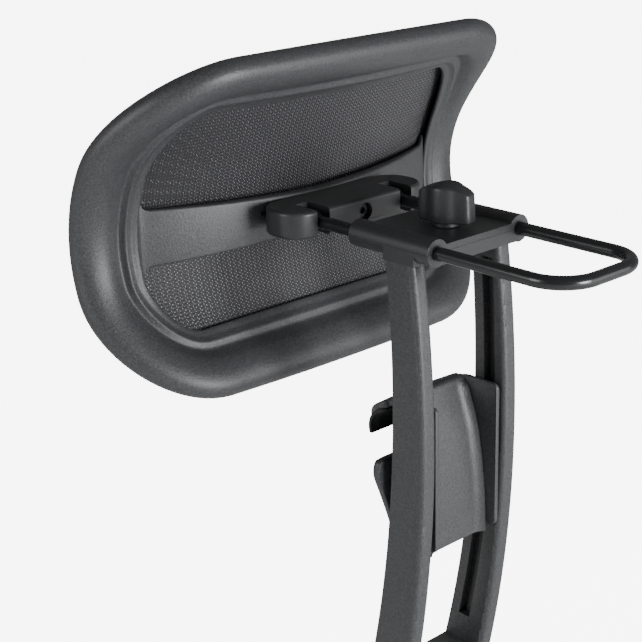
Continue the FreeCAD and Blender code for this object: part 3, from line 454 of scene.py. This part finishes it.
def bar_station(x):
    """One rounded rectangle of the crossbar, at this x."""
    share = abs(x) / LIP_X
    near = max(0.0, min(abs(x), LIP_X) - (LIP_X - FLARE_RADIUS))
    flare = FLARE_RADIUS - math.sqrt(max(0.0, FLARE_RADIUS ** 2 - near ** 2))
    top = BAR_CENTRE_Z + BAR_ABOVE + (BAR_END_ABOVE - BAR_ABOVE) * share + flare
    bottom = BAR_CENTRE_Z - BAR_BELOW - (BAR_END_BELOW - BAR_BELOW) * share - flare
    dip = BAR_DIP * min(1.0, max(0.0, (abs(x) - LIP_X) / DIP_LENGTH))
    rear = BAR_REAR_Y - (BAR_REAR_RADIUS - math.sqrt(BAR_REAR_RADIUS ** 2 - x ** 2)) - dip
    front = BAR_FRONT_Y - (BAR_FRONT_RADIUS - math.sqrt(BAR_FRONT_RADIUS ** 2 - x ** 2)) + 2 * dip
    corners = [(rear, top, 0), (front, top, 1), (front, bottom, 2), (rear, bottom, 3)]
    points = []
    for y, z, quarter in corners:
        centre_y = y - BAR_EDGE if y == rear else y + BAR_EDGE
        centre_z = z - BAR_EDGE if z == top else z + BAR_EDGE
        for k in range(EDGE_STEPS + 1):
            angle = math.pi / 2 * (quarter + k / EDGE_STEPS)
            points.append((x, centre_y + BAR_EDGE * math.cos(angle), centre_z + BAR_EDGE * math.sin(angle)))
    return points


def make_crossbar():
    """Stations from side to side, closest together in the flare and in the dip under the land."""
    flare = [LIP_X - FLARE_RADIUS * math.cos(math.pi / 2 * k / FLARE_STEPS)
             for k in range(1, FLARE_STEPS + 1)]
    half = [*np.linspace(0, LIP_X - FLARE_RADIUS, BAR_STATIONS), *flare,
            LIP_X + DIP_LENGTH / 2, LIP_X + DIP_LENGTH, BAR_HALF_WIDTH]
    stations = [-x for x in reversed(half[1:])] + half
    points = [p for x in stations for p in bar_station(x)]
    columns = len(points) // len(stations)
    return make_object("crossbar", points, grid_faces(len(stations), columns, False, True)
                       + end_caps(len(stations), columns), spark_eroded_nylon, crease=50)


crossbar = make_crossbar()
attach(crossbar, "headrest", "frame_plastic", "headrest_frame")

# %% [markdown]
# The textile panel is stretched inside the carrier ring, so it takes the saddle's shape. It is
# modelled as a thin closed sheet: the same points once towards the rear and once towards the
# front, joined round the edge. Its points run from the edge to the centre, in rings.

# %% The textile panel
PANEL_INSIDE, PANEL_DEPTH = 19.8, 5.3
PANEL_REAR, PANEL_FRONT = -4.7 * MILLIMETRE, -5.9 * MILLIMETRE
PANEL_ROUND, PANEL_RINGS = 120, 26
PANEL_EYE = 0.02


def panel_edge(share):
    """X and z of the panel's edge, under the lip."""
    spot = ring_points(share, [(-PANEL_INSIDE, -PANEL_DEPTH, 0)])[0]
    return spot.x, spot.z


def panel_point(x, z, offset):
    """A point at this distance to the rear of the middle surface."""
    return saddle_point(x, z) + saddle_normal(x, z) * offset


def make_panel():
    """Two nested sets of rings, rear and front, closed by two small faces at the centre."""
    edge = [panel_edge(i / PANEL_ROUND) for i in range(PANEL_ROUND)]
    points = []
    for offset in (PANEL_REAR, PANEL_FRONT):
        rings = range(PANEL_RINGS) if offset == PANEL_REAR else range(PANEL_RINGS - 1, -1, -1)
        for ring in rings:
            share = (ring + PANEL_EYE) / (PANEL_RINGS - 1 + PANEL_EYE)
            for x, z in edge:
                points.append(panel_point(x * share, RING_CENTRE_Z + (z - RING_CENTRE_Z) * share, offset))
    rows = 2 * PANEL_RINGS
    return make_object("textile_panel", points, grid_faces(rows, PANEL_ROUND, False, True)
                       + end_caps(rows, PANEL_ROUND), elastic_ground, crease=50)


panel = make_panel()
attach(panel, "headrest", "mesh_textile", "headrest_mesh")

# %% [markdown]
# The light stitches are thousands of short loops of yarn in staggered columns, so one low-cost
# shape is repeated by Geometry Nodes. A point cloud says where each stitch sits and which way
# the panel faces there; the tree puts a small flattened ball on each point, turns it to the
# panel, joins them all into real geometry and gives them their finish.

# %% Where the stitches sit
PAIR_SHIFT, ZIGZAG = 0.26 * MILLIMETRE, 0.20 * MILLIMETRE
STITCHED_WIDTH = 0.985


def stitch_places():
    """Staggered points inside the panel's edge, with the surface's normal at each."""
    outline = np.array([panel_edge(i / PANEL_ROUND) for i in range(PANEL_ROUND)])
    low, high = outline.min(0), outline.max(0)
    stitched = outline * [STITCHED_WIDTH, 1]
    places, normals = [], []
    for i, x in enumerate(np.arange(low[0], high[0], STITCH_ACROSS)):
        pair_shift = PAIR_SHIFT * (1 if i % 2 else -1)
        for j, z in enumerate(np.arange(low[1], high[1], STITCH_DOWN)):
            zigzag = ZIGZAG * (1 if j % 2 else -1)
            spot = (x + pair_shift + zigzag, z + (STITCH_DOWN / 2 if i % 2 else 0))
            if inside(spot, stitched):
                places.append(panel_point(*spot, (PANEL_REAR + PANEL_FRONT) / 2))
                normals.append(saddle_normal(*spot))
    return places, normals


def inside(spot, outline):
    """True where a point is inside a closed outline, by counting crossings."""
    x, z = spot
    ax, az = outline[:, 0], outline[:, 1]
    bx, bz = np.roll(ax, -1), np.roll(az, -1)
    crosses = (az > z) != (bz > z)
    run = np.where(crosses, bz - az, 1)
    return bool(np.count_nonzero(crosses & (x < ax + (z - az) / run * (bx - ax))) % 2)


places, normals = stitch_places()
print("stitches:", len(places))

# %% [markdown]
# Both trees in this file begin and end alike, so two helpers build those ends: named inputs at
# the start, and real geometry with a finish at the end. A third helper runs a tree on a source
# mesh, sets its inputs through their identifiers, and keeps the result as a plain mesh.

# %% Geometry Nodes helpers
def geometry_tree(name, *sizes):
    """A Geometry Nodes tree that takes geometry and these named sizes, and gives geometry."""
    tree = bpy.data.node_groups.new(name, "GeometryNodeTree")
    tree.interface.new_socket("Geometry", in_out="INPUT", socket_type="NodeSocketGeometry")
    for size in sizes:
        tree.interface.new_socket(size, in_out="INPUT", socket_type="NodeSocketFloat")
    tree.interface.new_socket("Geometry", in_out="OUTPUT", socket_type="NodeSocketGeometry")
    return tree, add_node(tree, "NodeGroupInput")


def end_tree(tree, geometry, finish):
    """Turn instances into real geometry, shade it smooth and give it its finish."""
    real = add_node(tree, "GeometryNodeRealizeInstances", {"Geometry": geometry})
    smooth = add_node(tree, "GeometryNodeSetShadeSmooth", {"Geometry": real.outputs["Geometry"]})
    dressed = add_node(tree, "GeometryNodeSetMaterial", {"Geometry": smooth.outputs["Geometry"],
                                                         "Material": finish})
    add_node(tree, "NodeGroupOutput", {"Geometry": dressed.outputs["Geometry"]})
    return tree


def grow(name, source, tree, **values):
    """Run a tree on a source mesh, with its inputs set by name, and keep the plain mesh."""
    holder = bpy.data.objects.new(name + "_source", source)
    bpy.context.scene.collection.objects.link(holder)
    modifier = holder.modifiers.new("grow", "NODES")
    modifier.node_group = tree
    for item in tree.interface.items_tree:
        key = item.name.lower().replace(" ", "_")
        if item.in_out == "INPUT" and key in values:
            modifier[item.identifier] = values[key]
    evaluated = holder.evaluated_get(bpy.context.evaluated_depsgraph_get())
    data = bpy.data.meshes.new_from_object(evaluated)
    data.name = name
    bpy.data.objects.remove(holder)
    piece = bpy.data.objects.new(name, data)
    bpy.context.scene.collection.objects.link(piece)
    return piece


print("tree helpers ready")

# %% The stitches' tree
def stitch_tree():
    """A small ball on every point, turned to the point's normal."""
    tree, start = geometry_tree("stitches", "Stitch radius", "Width share", "Depth share")
    ball = add_node(tree, "GeometryNodeMeshIcoSphere", {"Radius": start.outputs["Stitch radius"],
                                                        "Subdivisions": 1})
    facing = add_node(tree, "GeometryNodeInputNamedAttribute", {"Name": "facing"}, data_type="FLOAT_VECTOR")
    turn = add_node(tree, "FunctionNodeAlignEulerToVector", {"Vector": facing.outputs["Attribute"]}, axis="Y")
    squash = add_node(tree, "ShaderNodeCombineXYZ", {"X": start.outputs["Width share"],
                                                     "Y": start.outputs["Depth share"], "Z": 1.0})
    placed = add_node(tree, "GeometryNodeInstanceOnPoints", {
        "Points": start.outputs["Geometry"], "Instance": ball.outputs["Mesh"],
        "Rotation": turn.outputs["Rotation"], "Scale": squash.outputs["Vector"]})
    return end_tree(tree, placed.outputs["Instances"], stitch_yarn)


def make_stitches(places, normals):
    """The whole field of stitches as one plain mesh."""
    cloud = bpy.data.meshes.new("stitch_points")
    cloud.from_pydata([tuple(p) for p in places], [], [])
    cloud.attributes.new("facing", "FLOAT_VECTOR", "POINT").data.foreach_set(
        "vector", np.array(normals, np.float32).ravel())
    return grow("yarn_stitches", cloud, stitch_tree(), stitch_radius=0.80 * MILLIMETRE,
                width_share=0.72, depth_share=0.95)


stitches = make_stitches(places, normals)
attach(stitches, "headrest", "mesh_textile")

# %% [markdown]
# The rod is one steel bar, bent into a U. A bar like this follows a path with equal bends, so
# Geometry Nodes makes it: a straight-cornered line, rounded at its corners, with a circle swept
# along it. The bend radius and the bar's radius are named inputs.

# %% The U-shaped rod
ROD_LOW, ROD_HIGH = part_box("u_rod")
ROD_RADIUS = (ROD_HIGH.z - ROD_LOW.z) / 2
ROD_BEND = 0.023
BEND_STEPS, BAR_SIDES = 28, 40


def rod_tree():
    """A line with rounded corners and a round bar swept along it."""
    tree, start = geometry_tree("bent_bar", "Bend radius", "Bar radius")
    line = add_node(tree, "GeometryNodeMeshToCurve", {"Mesh": start.outputs["Geometry"]})
    bends = add_node(tree, "GeometryNodeFilletCurve", {
        "Curve": line.outputs["Curve"], "Count": BEND_STEPS,
        "Radius": start.outputs["Bend radius"]}, mode="POLY")
    section = add_node(tree, "GeometryNodeCurvePrimitiveCircle", {"Resolution": BAR_SIDES,
                                                                  "Radius": start.outputs["Bar radius"]})
    bar = add_node(tree, "GeometryNodeCurveToMesh", {
        "Curve": bends.outputs["Curve"], "Profile Curve": section.outputs["Curve"], "Fill Caps": True})
    return end_tree(tree, bar.outputs["Mesh"], dipped_steel)


def make_rod():
    """The rod's path from the CAD box: two legs and the cross piece, still with square corners."""
    side = ROD_HIGH.x - ROD_RADIUS
    far = ROD_HIGH.y - ROD_RADIUS
    level_z = (ROD_LOW.z + ROD_HIGH.z) / 2
    corners = [(side, ROD_LOW.y, level_z), (side, far, level_z),
               (-side, far, level_z), (-side, ROD_LOW.y, level_z)]
    path = bpy.data.meshes.new("rod_path")
    path.from_pydata(corners, [(0, 1), (1, 2), (2, 3)], [])
    return grow("bent_rod", path, rod_tree(), bend_radius=ROD_BEND, bar_radius=ROD_RADIUS)


rod = make_rod()
rod.data.set_sharp_from_angle(angle=math.radians(50))
attach(rod, "rod", "rod_steel", "u_rod")

# %% [markdown]
# Moulded parts never have knife edges: the tool leaves a small radius that catches the light.
# Where the CAD shape is right, a merged copy of the node gets that radius from a Bevel modifier,
# and the copy stands for the node. The merge and the dissolve come first, because a CAD mesh is
# loose triangles and a bevel needs clean, joined faces.

# %% Softened copies of CAD nodes
MERGE_DISTANCE = 2e-6
FLAT_ANGLE, SHARP_ANGLE = math.radians(0.6), math.radians(32)
BEVEL_SEGMENTS = 2


def softened(node, name, radius_mm, finish, body, slot):
    """A merged copy of a CAD node with this radius on its sharp edges."""
    work = bmesh.new()
    work.from_mesh(nodes[node].data)
    bmesh.ops.remove_doubles(work, verts=work.verts, dist=MERGE_DISTANCE)
    bmesh.ops.dissolve_limit(work, angle_limit=FLAT_ANGLE, verts=work.verts, edges=work.edges)
    data = bpy.data.meshes.new(name)
    work.to_mesh(data)
    work.free()
    data.materials.clear()
    data.materials.append(finish)
    data.shade_smooth()
    data.set_sharp_from_angle(angle=SHARP_ANGLE)
    piece = bpy.data.objects.new(name, data)
    bpy.context.scene.collection.objects.link(piece)
    bevel = piece.modifiers.new("moulded radius", "BEVEL")
    bevel.width = radius_mm * MILLIMETRE
    bevel.segments = BEVEL_SEGMENTS
    bevel.limit_method = "ANGLE"
    bevel.angle_limit = SHARP_ANGLE
    bevel.harden_normals = True
    attach(piece, body, slot, node)


softened("clamp_upper", "clamp_top", 0.45, satin_nylon, "carriage", "clamp_plastic")
softened("clamp_lower", "clamp_bottom", 0.25, satin_nylon, "carriage", "clamp_plastic")
softened("pivot_housing", "tilt_housing", 0.5, satin_nylon, "headrest", "clamp_plastic")
softened("post_left", "left_post", 0.5, spark_eroded_nylon, "carriage", "frame_plastic")
softened("post_right", "right_post", 0.5, spark_eroded_nylon, "carriage", "frame_plastic")
softened("bottom_bridge", "lower_bridge", 1.2, spark_eroded_nylon, "carriage", "frame_plastic")
softened("knob_washer", "knob_collar", 0.4, knob_plastic, "knob", "knob_plastic")
softened("back_pad", "rear_pad", 0.5, rubber, "saddle", "pad_rubber")

# %% [markdown]
# The knob is a wing knob with a fat round hub. Seen from above, its outline is a blunt wing
# that swells into the hub; seen from the side, its top is crowned along the wing. The outline
# comes from a formula in polar form: the wing's rounded rectangle and the hub's circle, joined
# with a soft maximum. It is stacked in levels, pulled in near the top and bottom for the radius.

# %% The knob
KNOB_LOW, KNOB_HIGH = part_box("knob")
KNOB_Y = (KNOB_LOW.y + KNOB_HIGH.y) / 2
HUB_RADIUS, WING_HALF, WING_THICK = 0.0110, 0.0174, 0.0062
WING_SQUARENESS, HUB_BLEND = 5, 7
WING_TURN = math.radians(14)
KNOB_ROUND, KNOB_POINTS = 0.0024, 144
KNOB_FOOT = [(0.0, 0.0012), (0.0005, 0.0004), (0.0012, 0.0)]
KNOB_TOP_SHARES = (0.75, 0.5, 0.25, 0.04)
CROWN_DROP, KNOB_TAPER = 0.0046, 0.05


def knob_reach(angle):
    """How far the knob's outline is from its axis, at this angle from the wing's length."""
    length_part = (abs(math.cos(angle)) / WING_HALF) ** WING_SQUARENESS
    width_part = (abs(math.sin(angle)) / WING_THICK) ** WING_SQUARENESS
    wing = (length_part + width_part) ** (-1 / WING_SQUARENESS)
    return (wing ** HUB_BLEND + HUB_RADIUS ** HUB_BLEND) ** (1 / HUB_BLEND)


print("knob reach along and across the wing:", round(knob_reach(0), 4), round(knob_reach(math.pi / 2), 4))

# %% The knob's levels
def knob_levels():
    """Each level's height, how far it is pulled in, and its share of that outline."""
    height = KNOB_HIGH.z - KNOB_LOW.z
    levels = [(KNOB_LOW.z + rise, inset, 1) for rise, inset in KNOB_FOOT]
    levels += [(KNOB_LOW.z + height * k / 8, 0.0, 1) for k in range(2, 7)]
    for k in range(7):
        angle = math.pi / 2 * k / 6
        drop, inset = KNOB_ROUND * (1 - math.sin(angle)), KNOB_ROUND * (1 - math.cos(angle))
        levels.append((KNOB_HIGH.z - drop, inset, 1))
    return levels + [(KNOB_HIGH.z, KNOB_ROUND, share) for share in KNOB_TOP_SHARES]


def make_knob():
    """The stacked levels as one closed mesh, turned about the knob's own axis."""
    points = []
    for z, inset, share in knob_levels():
        rise = (z - KNOB_LOW.z) / (KNOB_HIGH.z - KNOB_LOW.z)
        taper = 1 - KNOB_TAPER * rise
        for j in range(KNOB_POINTS):
            angle = 2 * math.pi * j / KNOB_POINTS
            reach = (knob_reach(angle) - inset) * share
            along, across = reach * math.cos(angle), reach * math.sin(angle)
            crown = CROWN_DROP * (along / WING_HALF) ** 2 * rise ** 3
            x = taper * (-along * math.sin(WING_TURN) + across * math.cos(WING_TURN))
            y = taper * (along * math.cos(WING_TURN) + across * math.sin(WING_TURN))
            points.append((x, KNOB_Y + y, z - crown))
    rows = len(points) // KNOB_POINTS
    return make_object("wing_knob", points, grid_faces(rows, KNOB_POINTS, False, True)
                       + end_caps(rows, KNOB_POINTS), knob_plastic, crease=50)


knob = make_knob()
attach(knob, "knob", "knob_plastic", "knob")

# %% [markdown]
# The saddle is one moulding that people see as a channel: a panel leans on to the chair's rail,
# turns over a crisp edge into a gently rolled roof, and runs down in front of the rail as a hook.
# Behind the posts' front faces the roof is as wide as the channel; in front of them it widens
# into two short ears that taper towards the hook's lip. Beside each wall the panel rises in a
# soft hollow that ends in a ridge. It is a grid: steps along this profile, each with points
# across, once for the outer face and once for the inner one. The points crowd together towards
# the sides, where the ridge is. Lengths here are in millimetres.

# %% The saddle's panel, roof and hook
PROFILE = [(27.2, -56), (27.0, -48), (26.6, -34.7), (25.4, -21.1), (23.4, -4.4), (20.6, 11.9), (18.9, 18.1),
           (16.9, 24.4), (13.6, 33.5), (11.9, 39.1), (11.3, 41.6), (11.0, 42.9), (10.2, 44.3), (8.8, 45.0),
           (7.0, 45.0), (4.6, 44.6), (0.3, 43.2), (-4.9, 40.9), (-8.5, 38.8), (-12.5, 35.4), (-15.6, 31.0),
           (-17.3, 26.0), (-17.8, 21.0), (-17.4, 17.0)]
PROFILE_STEPS = 5
EAR_START = 0.5
PANEL_HALF, ROOF_HALF, EAR_HALF = 25.8, 28.4, 33.8
EAR_ROUND = 5.0
EAR_TAPER_START, EAR_TAPER = 38.0, 0.42
WIDENING_START, WIDENING_HEIGHT = 43.4, 1.2
HOLLOW_WIDTH, HOLLOW_RISE, HOLLOW_FRONT, HOLLOW_POWER = 8.0, 3.6, 8.0, 2.4
HOLLOW_TOP, HOLLOW_FADE = 43.0, 4.0
RIDGE_WIDTH, RIDGE_FALL = 1.3, 2.0


def open_spline(points, steps):
    """A smooth line through the points from the first to the last."""
    ends = [2 * np.array(points[0]) - points[1], *points, 2 * np.array(points[-1]) - points[-2]]
    return closed_spline(ends, steps)[steps:len(points) * steps + 1]


def saddle_half_width(y, z, to_end):
    """Half the width at one step: panel, roof, or ear with its rounded corners."""
    if y > EAR_START:
        widening = min(1.0, max(0.0, (z - WIDENING_START) / WIDENING_HEIGHT))
        return PANEL_HALF + (ROOF_HALF - PANEL_HALF) * widening
    gap = EAR_ROUND - min(EAR_ROUND, EAR_START - y, to_end)
    taper = EAR_TAPER * max(0.0, EAR_TAPER_START - z)
    return EAR_HALF - taper - EAR_ROUND + math.sqrt(EAR_ROUND ** 2 - gap ** 2)


def hollow_rise(x, y, z):
    """How far the panel rises towards its walls, with the ridge at the end of the hollow."""
    if y < HOLLOW_FRONT:
        return 0.0
    edge = PANEL_HALF - RIDGE_WIDTH
    inward = max(0.0, abs(x) - (edge - HOLLOW_WIDTH)) / HOLLOW_WIDTH
    rise = HOLLOW_RISE * min(1.0, inward) ** HOLLOW_POWER
    if abs(x) > edge:
        rise -= RIDGE_FALL * (1 - math.cos(math.pi / 2 * min(1.0, (abs(x) - edge) / RIDGE_WIDTH)))
    return rise * min(1.0, max(0.0, (HOLLOW_TOP - z) / HOLLOW_FADE))


print("saddle profile:", len(open_spline(PROFILE, PROFILE_STEPS)), "steps")

# %% The saddle's grid
ROLL_START, ROLL_HEIGHT = 30, 12
ROOF_ARCH, ARCH_WIDTH = 0.7, 30
SKIN, ROOF_SKIN_EXTRA = 3.0, 1.6
SOFT_SHARE, SOFT_DROP = 0.97, 0.9
ACROSS = np.concatenate([np.linspace(-1, -0.93, 8), np.linspace(-0.9, 0.9, 37), np.linspace(0.93, 1, 8)])


def make_saddle():
    """The outer and inner grids, joined round their edges."""
    line = open_spline(PROFILE, PROFILE_STEPS)
    length = np.concatenate([[0], np.cumsum(np.linalg.norm(np.diff(line, axis=0), axis=1))])
    outer, inner = [], []
    for i, (y, z) in enumerate(line):
        before, after = line[max(0, i - 1)], line[min(len(line) - 1, i + 1)]
        along = (after - before) / np.linalg.norm(after - before)
        facing = np.array([along[1], -along[0]])
        half = saddle_half_width(y, z, length[-1] - length[i])
        rolled = min(1.0, max(0.0, (z - ROLL_START) / ROLL_HEIGHT if y > 0 else 1.0))
        for share in ACROSS:
            x = share * half
            past = max(0.0, (abs(share) - SOFT_SHARE) / (1 - SOFT_SHARE))
            soft = SOFT_DROP * past ** 2 if rolled == 1.0 else 0.0
            arch = ROOF_ARCH * rolled * (x / ARCH_WIDTH) ** 2
            spot = np.array([y, z - arch]) + facing * (hollow_rise(x, y, z) - soft)
            under = np.array([y, z - arch]) - facing * (SKIN + ROOF_SKIN_EXTRA * rolled - soft)
            outer.append((x, *spot))
            inner.append((x, *under))
    rows, columns = len(line), len(ACROSS)
    count = len(outer)
    faces = grid_faces(rows, columns)
    faces += [tuple(count + corner for corner in face[::-1]) for face in grid_faces(rows, columns)]
    around = (list(range(columns)) + [i * columns + columns - 1 for i in range(1, rows)]
              + [(rows - 1) * columns + j for j in range(columns - 2, -1, -1)]
              + [i * columns for i in range(rows - 2, 0, -1)])
    faces += [(a, a + count, b + count, b) for a, b in zip(around, around[1:] + around[:1])]
    points = np.array(outer + inner) * MILLIMETRE
    return make_object("saddle_panel", points, faces, spark_eroded_nylon, crease=48)


saddle_panel = make_saddle()
attach(saddle_panel, "saddle", "frame_plastic", "saddle_cover")

# %% [markdown]
# The channel's two walls stand against the posts. Each is a flat plate with a rounded lip, a
# rounded upper rear corner, and a top edge that follows the roof. Rings of its outline, pulled
# in a little at both faces, give it soft edges all round.

# %% The saddle's walls
WALL_OUTER, WALL_INNER = 28.4, 25.6
WALL_FRONT, WALL_LIP, WALL_TOP, WALL_FOOT, WALL_END = 7.2, 37.5, 45.8, -50.0, -56.0
WALL_CORNER = 3.5
WALL_LEVELS = [(WALL_OUTER, 0.9), (WALL_OUTER - 0.25, 0.25), (WALL_OUTER - 0.9, 0.0),
               (WALL_INNER + 0.9, 0.0), (WALL_INNER + 0.25, 0.25), (WALL_INNER, 0.9)]


def make_wall(name, side):
    """One wall, on the side given as 1 or -1."""
    corner_y, top_z, foot_z = WALL_LIP - WALL_CORNER, WALL_TOP - WALL_CORNER, WALL_FOOT + WALL_CORNER
    turns = np.linspace(0, math.pi / 2, 7)
    outline = [(WALL_FRONT, 44.4), (9.7, 45.3), (13.0, WALL_TOP)]
    outline += [(corner_y + WALL_CORNER * math.sin(a), top_z + WALL_CORNER * math.cos(a)) for a in turns]
    outline += [(corner_y + WALL_CORNER * math.cos(a), foot_z - WALL_CORNER * math.sin(a)) for a in turns]
    outline = np.array(outline + [(27.0, WALL_FOOT), (26.0, WALL_END), (WALL_FRONT, WALL_END)])
    points = [(side * x, y, z) for x, inset in WALL_LEVELS for y, z in pulled_in(outline, inset)]
    rows, columns = len(WALL_LEVELS), len(outline)
    return make_object(name, np.array(points) * MILLIMETRE, grid_faces(rows, columns, False, True)
                       + end_caps(rows, columns), spark_eroded_nylon, crease=48)


for side, side_name in ((1, "left"), (-1, "right")):
    attach(make_wall(f"saddle_wall_{side_name}", side), "saddle", "frame_plastic", "saddle_cover")

# %% [markdown]
# A shield-shaped plate behind the rail carries the rubber pad. Its outline is smooth, so it is a
# closed curve through a few points, stacked in levels for its thickness and its soft edges.

# %% The saddle's plate
PLATE_LEFT = [(0, 8), (18, 8), (34, 8), (43.5, 7.4), (46.3, 4), (46.5, -3), (42.5, -14), (38, -26),
              (34.5, -36), (30.5, -48), (27.8, -54.4), (20, -56), (0, -56)]
PLATE_LEVELS = [(2.0, 1.2), (2.3, 0.4), (3.2, 0.0), (5.8, 0.0), (6.7, 0.4), (7.0, 1.2)]


def make_plate():
    outline = closed_spline(PLATE_LEFT + [(-x, z) for x, z in PLATE_LEFT[-2:0:-1]], PROFILE_STEPS)
    points = [(x, y, z) for y, inset in PLATE_LEVELS for x, z in pulled_in(outline, inset)]
    rows, columns = len(PLATE_LEVELS), len(outline)
    return make_object("saddle_plate", np.array(points) * MILLIMETRE, grid_faces(rows, columns, False, True)
                       + end_caps(rows, columns), spark_eroded_nylon, crease=48)


plate = make_plate()
attach(plate, "saddle", "frame_plastic", "saddle_base")

# %% [markdown]
# The remaining CAD nodes keep their shape. Each gets the finish of its real counterpart.

# %% Finishes for the CAD nodes that stay
NODE_FINISHES = {
    "rail_pad": rubber, "mesh_carrier": satin_nylon, "rod_eyes": dipped_steel,
    "guide_shoe_left": acetal, "guide_shoe_right": acetal, "friction_strip_left": acetal,
    "friction_strip_right": acetal, "rod_liners": acetal, "friction_washers": acetal,
    "saddle_screws": black_zinc, "shoe_screws": black_zinc, "bridge_screws": black_zinc,
    "post_screws": black_zinc, "housing_screws": black_zinc, "tension_screw": black_zinc,
    "tension_nut": black_zinc, "clamp_nut": black_zinc, "knob_stud": black_zinc, "pivot_pins": ground_steel,
}
for name, finish in NODE_FINISHES.items():
    nodes[name].data.materials.clear()
    nodes[name].data.materials.append(finish)
print(len(NODE_FINISHES), "CAD nodes dressed")

# %% [markdown]
# The studio is a pale floor, a white surround and soft light. The key panel stands straight
# behind the headrest, so rear faces are light and upward faces stay dark. A panel in front and to
# one side draws the edges, and a weak one fills the far side. The floor and the surround look
# white to the camera but give little light, so the background stays pale and the part's top
# stays dark. The floor lies low enough for the posts at their lowest height.

# %% Floor and light
FLOOR_DROP = 0.060
FLOOR_HALF = 12.0
FLOOR_LIGHT, SURROUND_LIGHT, BACKDROP_SEEN = 0.10, 0.19, 7.0


def backdrop_strength(tree, light):
    """Little light for the part, but bright where the camera sees the surface itself."""
    seen = add_node(tree, "ShaderNodeLightPath").outputs["Is Camera Ray"]
    strength = add_node(tree, "ShaderNodeMapRange", {"Value": seen, "To Min": light, "To Max": BACKDROP_SEEN})
    return strength.outputs["Result"]


def make_floor():
    """A wide flat sheet, which isn't part of the headrest."""
    z = cad_box[0][2] - FLOOR_DROP
    data = bpy.data.meshes.new("floor")
    corners = [(-FLOOR_HALF, -FLOOR_HALF, z), (FLOOR_HALF, -FLOOR_HALF, z), (FLOOR_HALF, FLOOR_HALF, z),
               (-FLOOR_HALF, FLOOR_HALF, z)]
    data.from_pydata(corners, [], [(0, 1, 2, 3)])
    material, tree, shader = new_finish("white_paper_sweep", Roughness=0.9, Emission_Color=(1, 1, 1, 1))
    shader.inputs["Base Color"].default_value = linear("#f4f4f4")
    tree.links.new(backdrop_strength(tree, FLOOR_LIGHT), shader.inputs["Emission Strength"])
    data.materials.append(material)
    floor = bpy.data.objects.new("floor", data)
    bpy.context.scene.collection.objects.link(floor)


make_floor()
print("floor at z", round(cad_box[0][2] - FLOOR_DROP, 4))

# %% The surround and the lamps
world = bpy.data.worlds.new("studio")
world.use_nodes = True
background = world.node_tree.nodes["Background"]
background.inputs["Color"].default_value = (1, 1, 1, 1)
world.node_tree.links.new(backdrop_strength(world.node_tree, SURROUND_LIGHT), background.inputs["Strength"])
bpy.context.scene.world = world
MIDDLE = (0, -0.02, 0.1)


def add_light(name, place, target, size, power):
    """A soft square panel at a place, facing a target."""
    data = bpy.data.lights.new(name, "AREA")
    data.size = size
    data.energy = power
    lamp = bpy.data.objects.new(name, data)
    lamp.location = place
    lamp.rotation_euler = (Vector(target) - Vector(place)).to_track_quat("-Z", "Y").to_euler()
    bpy.context.scene.collection.objects.link(lamp)
    print("light", name, power, "W")


add_light("key_panel", (-0.12, 1.55, 0.28), MIDDLE, 0.55, 37)
add_light("edge_panel", (1.5, -0.5, 0.55), MIDDLE, 0.7, 12)
add_light("fill_panel", (-1.0, 1.3, 0.2), MIDDLE, 0.8, 6)
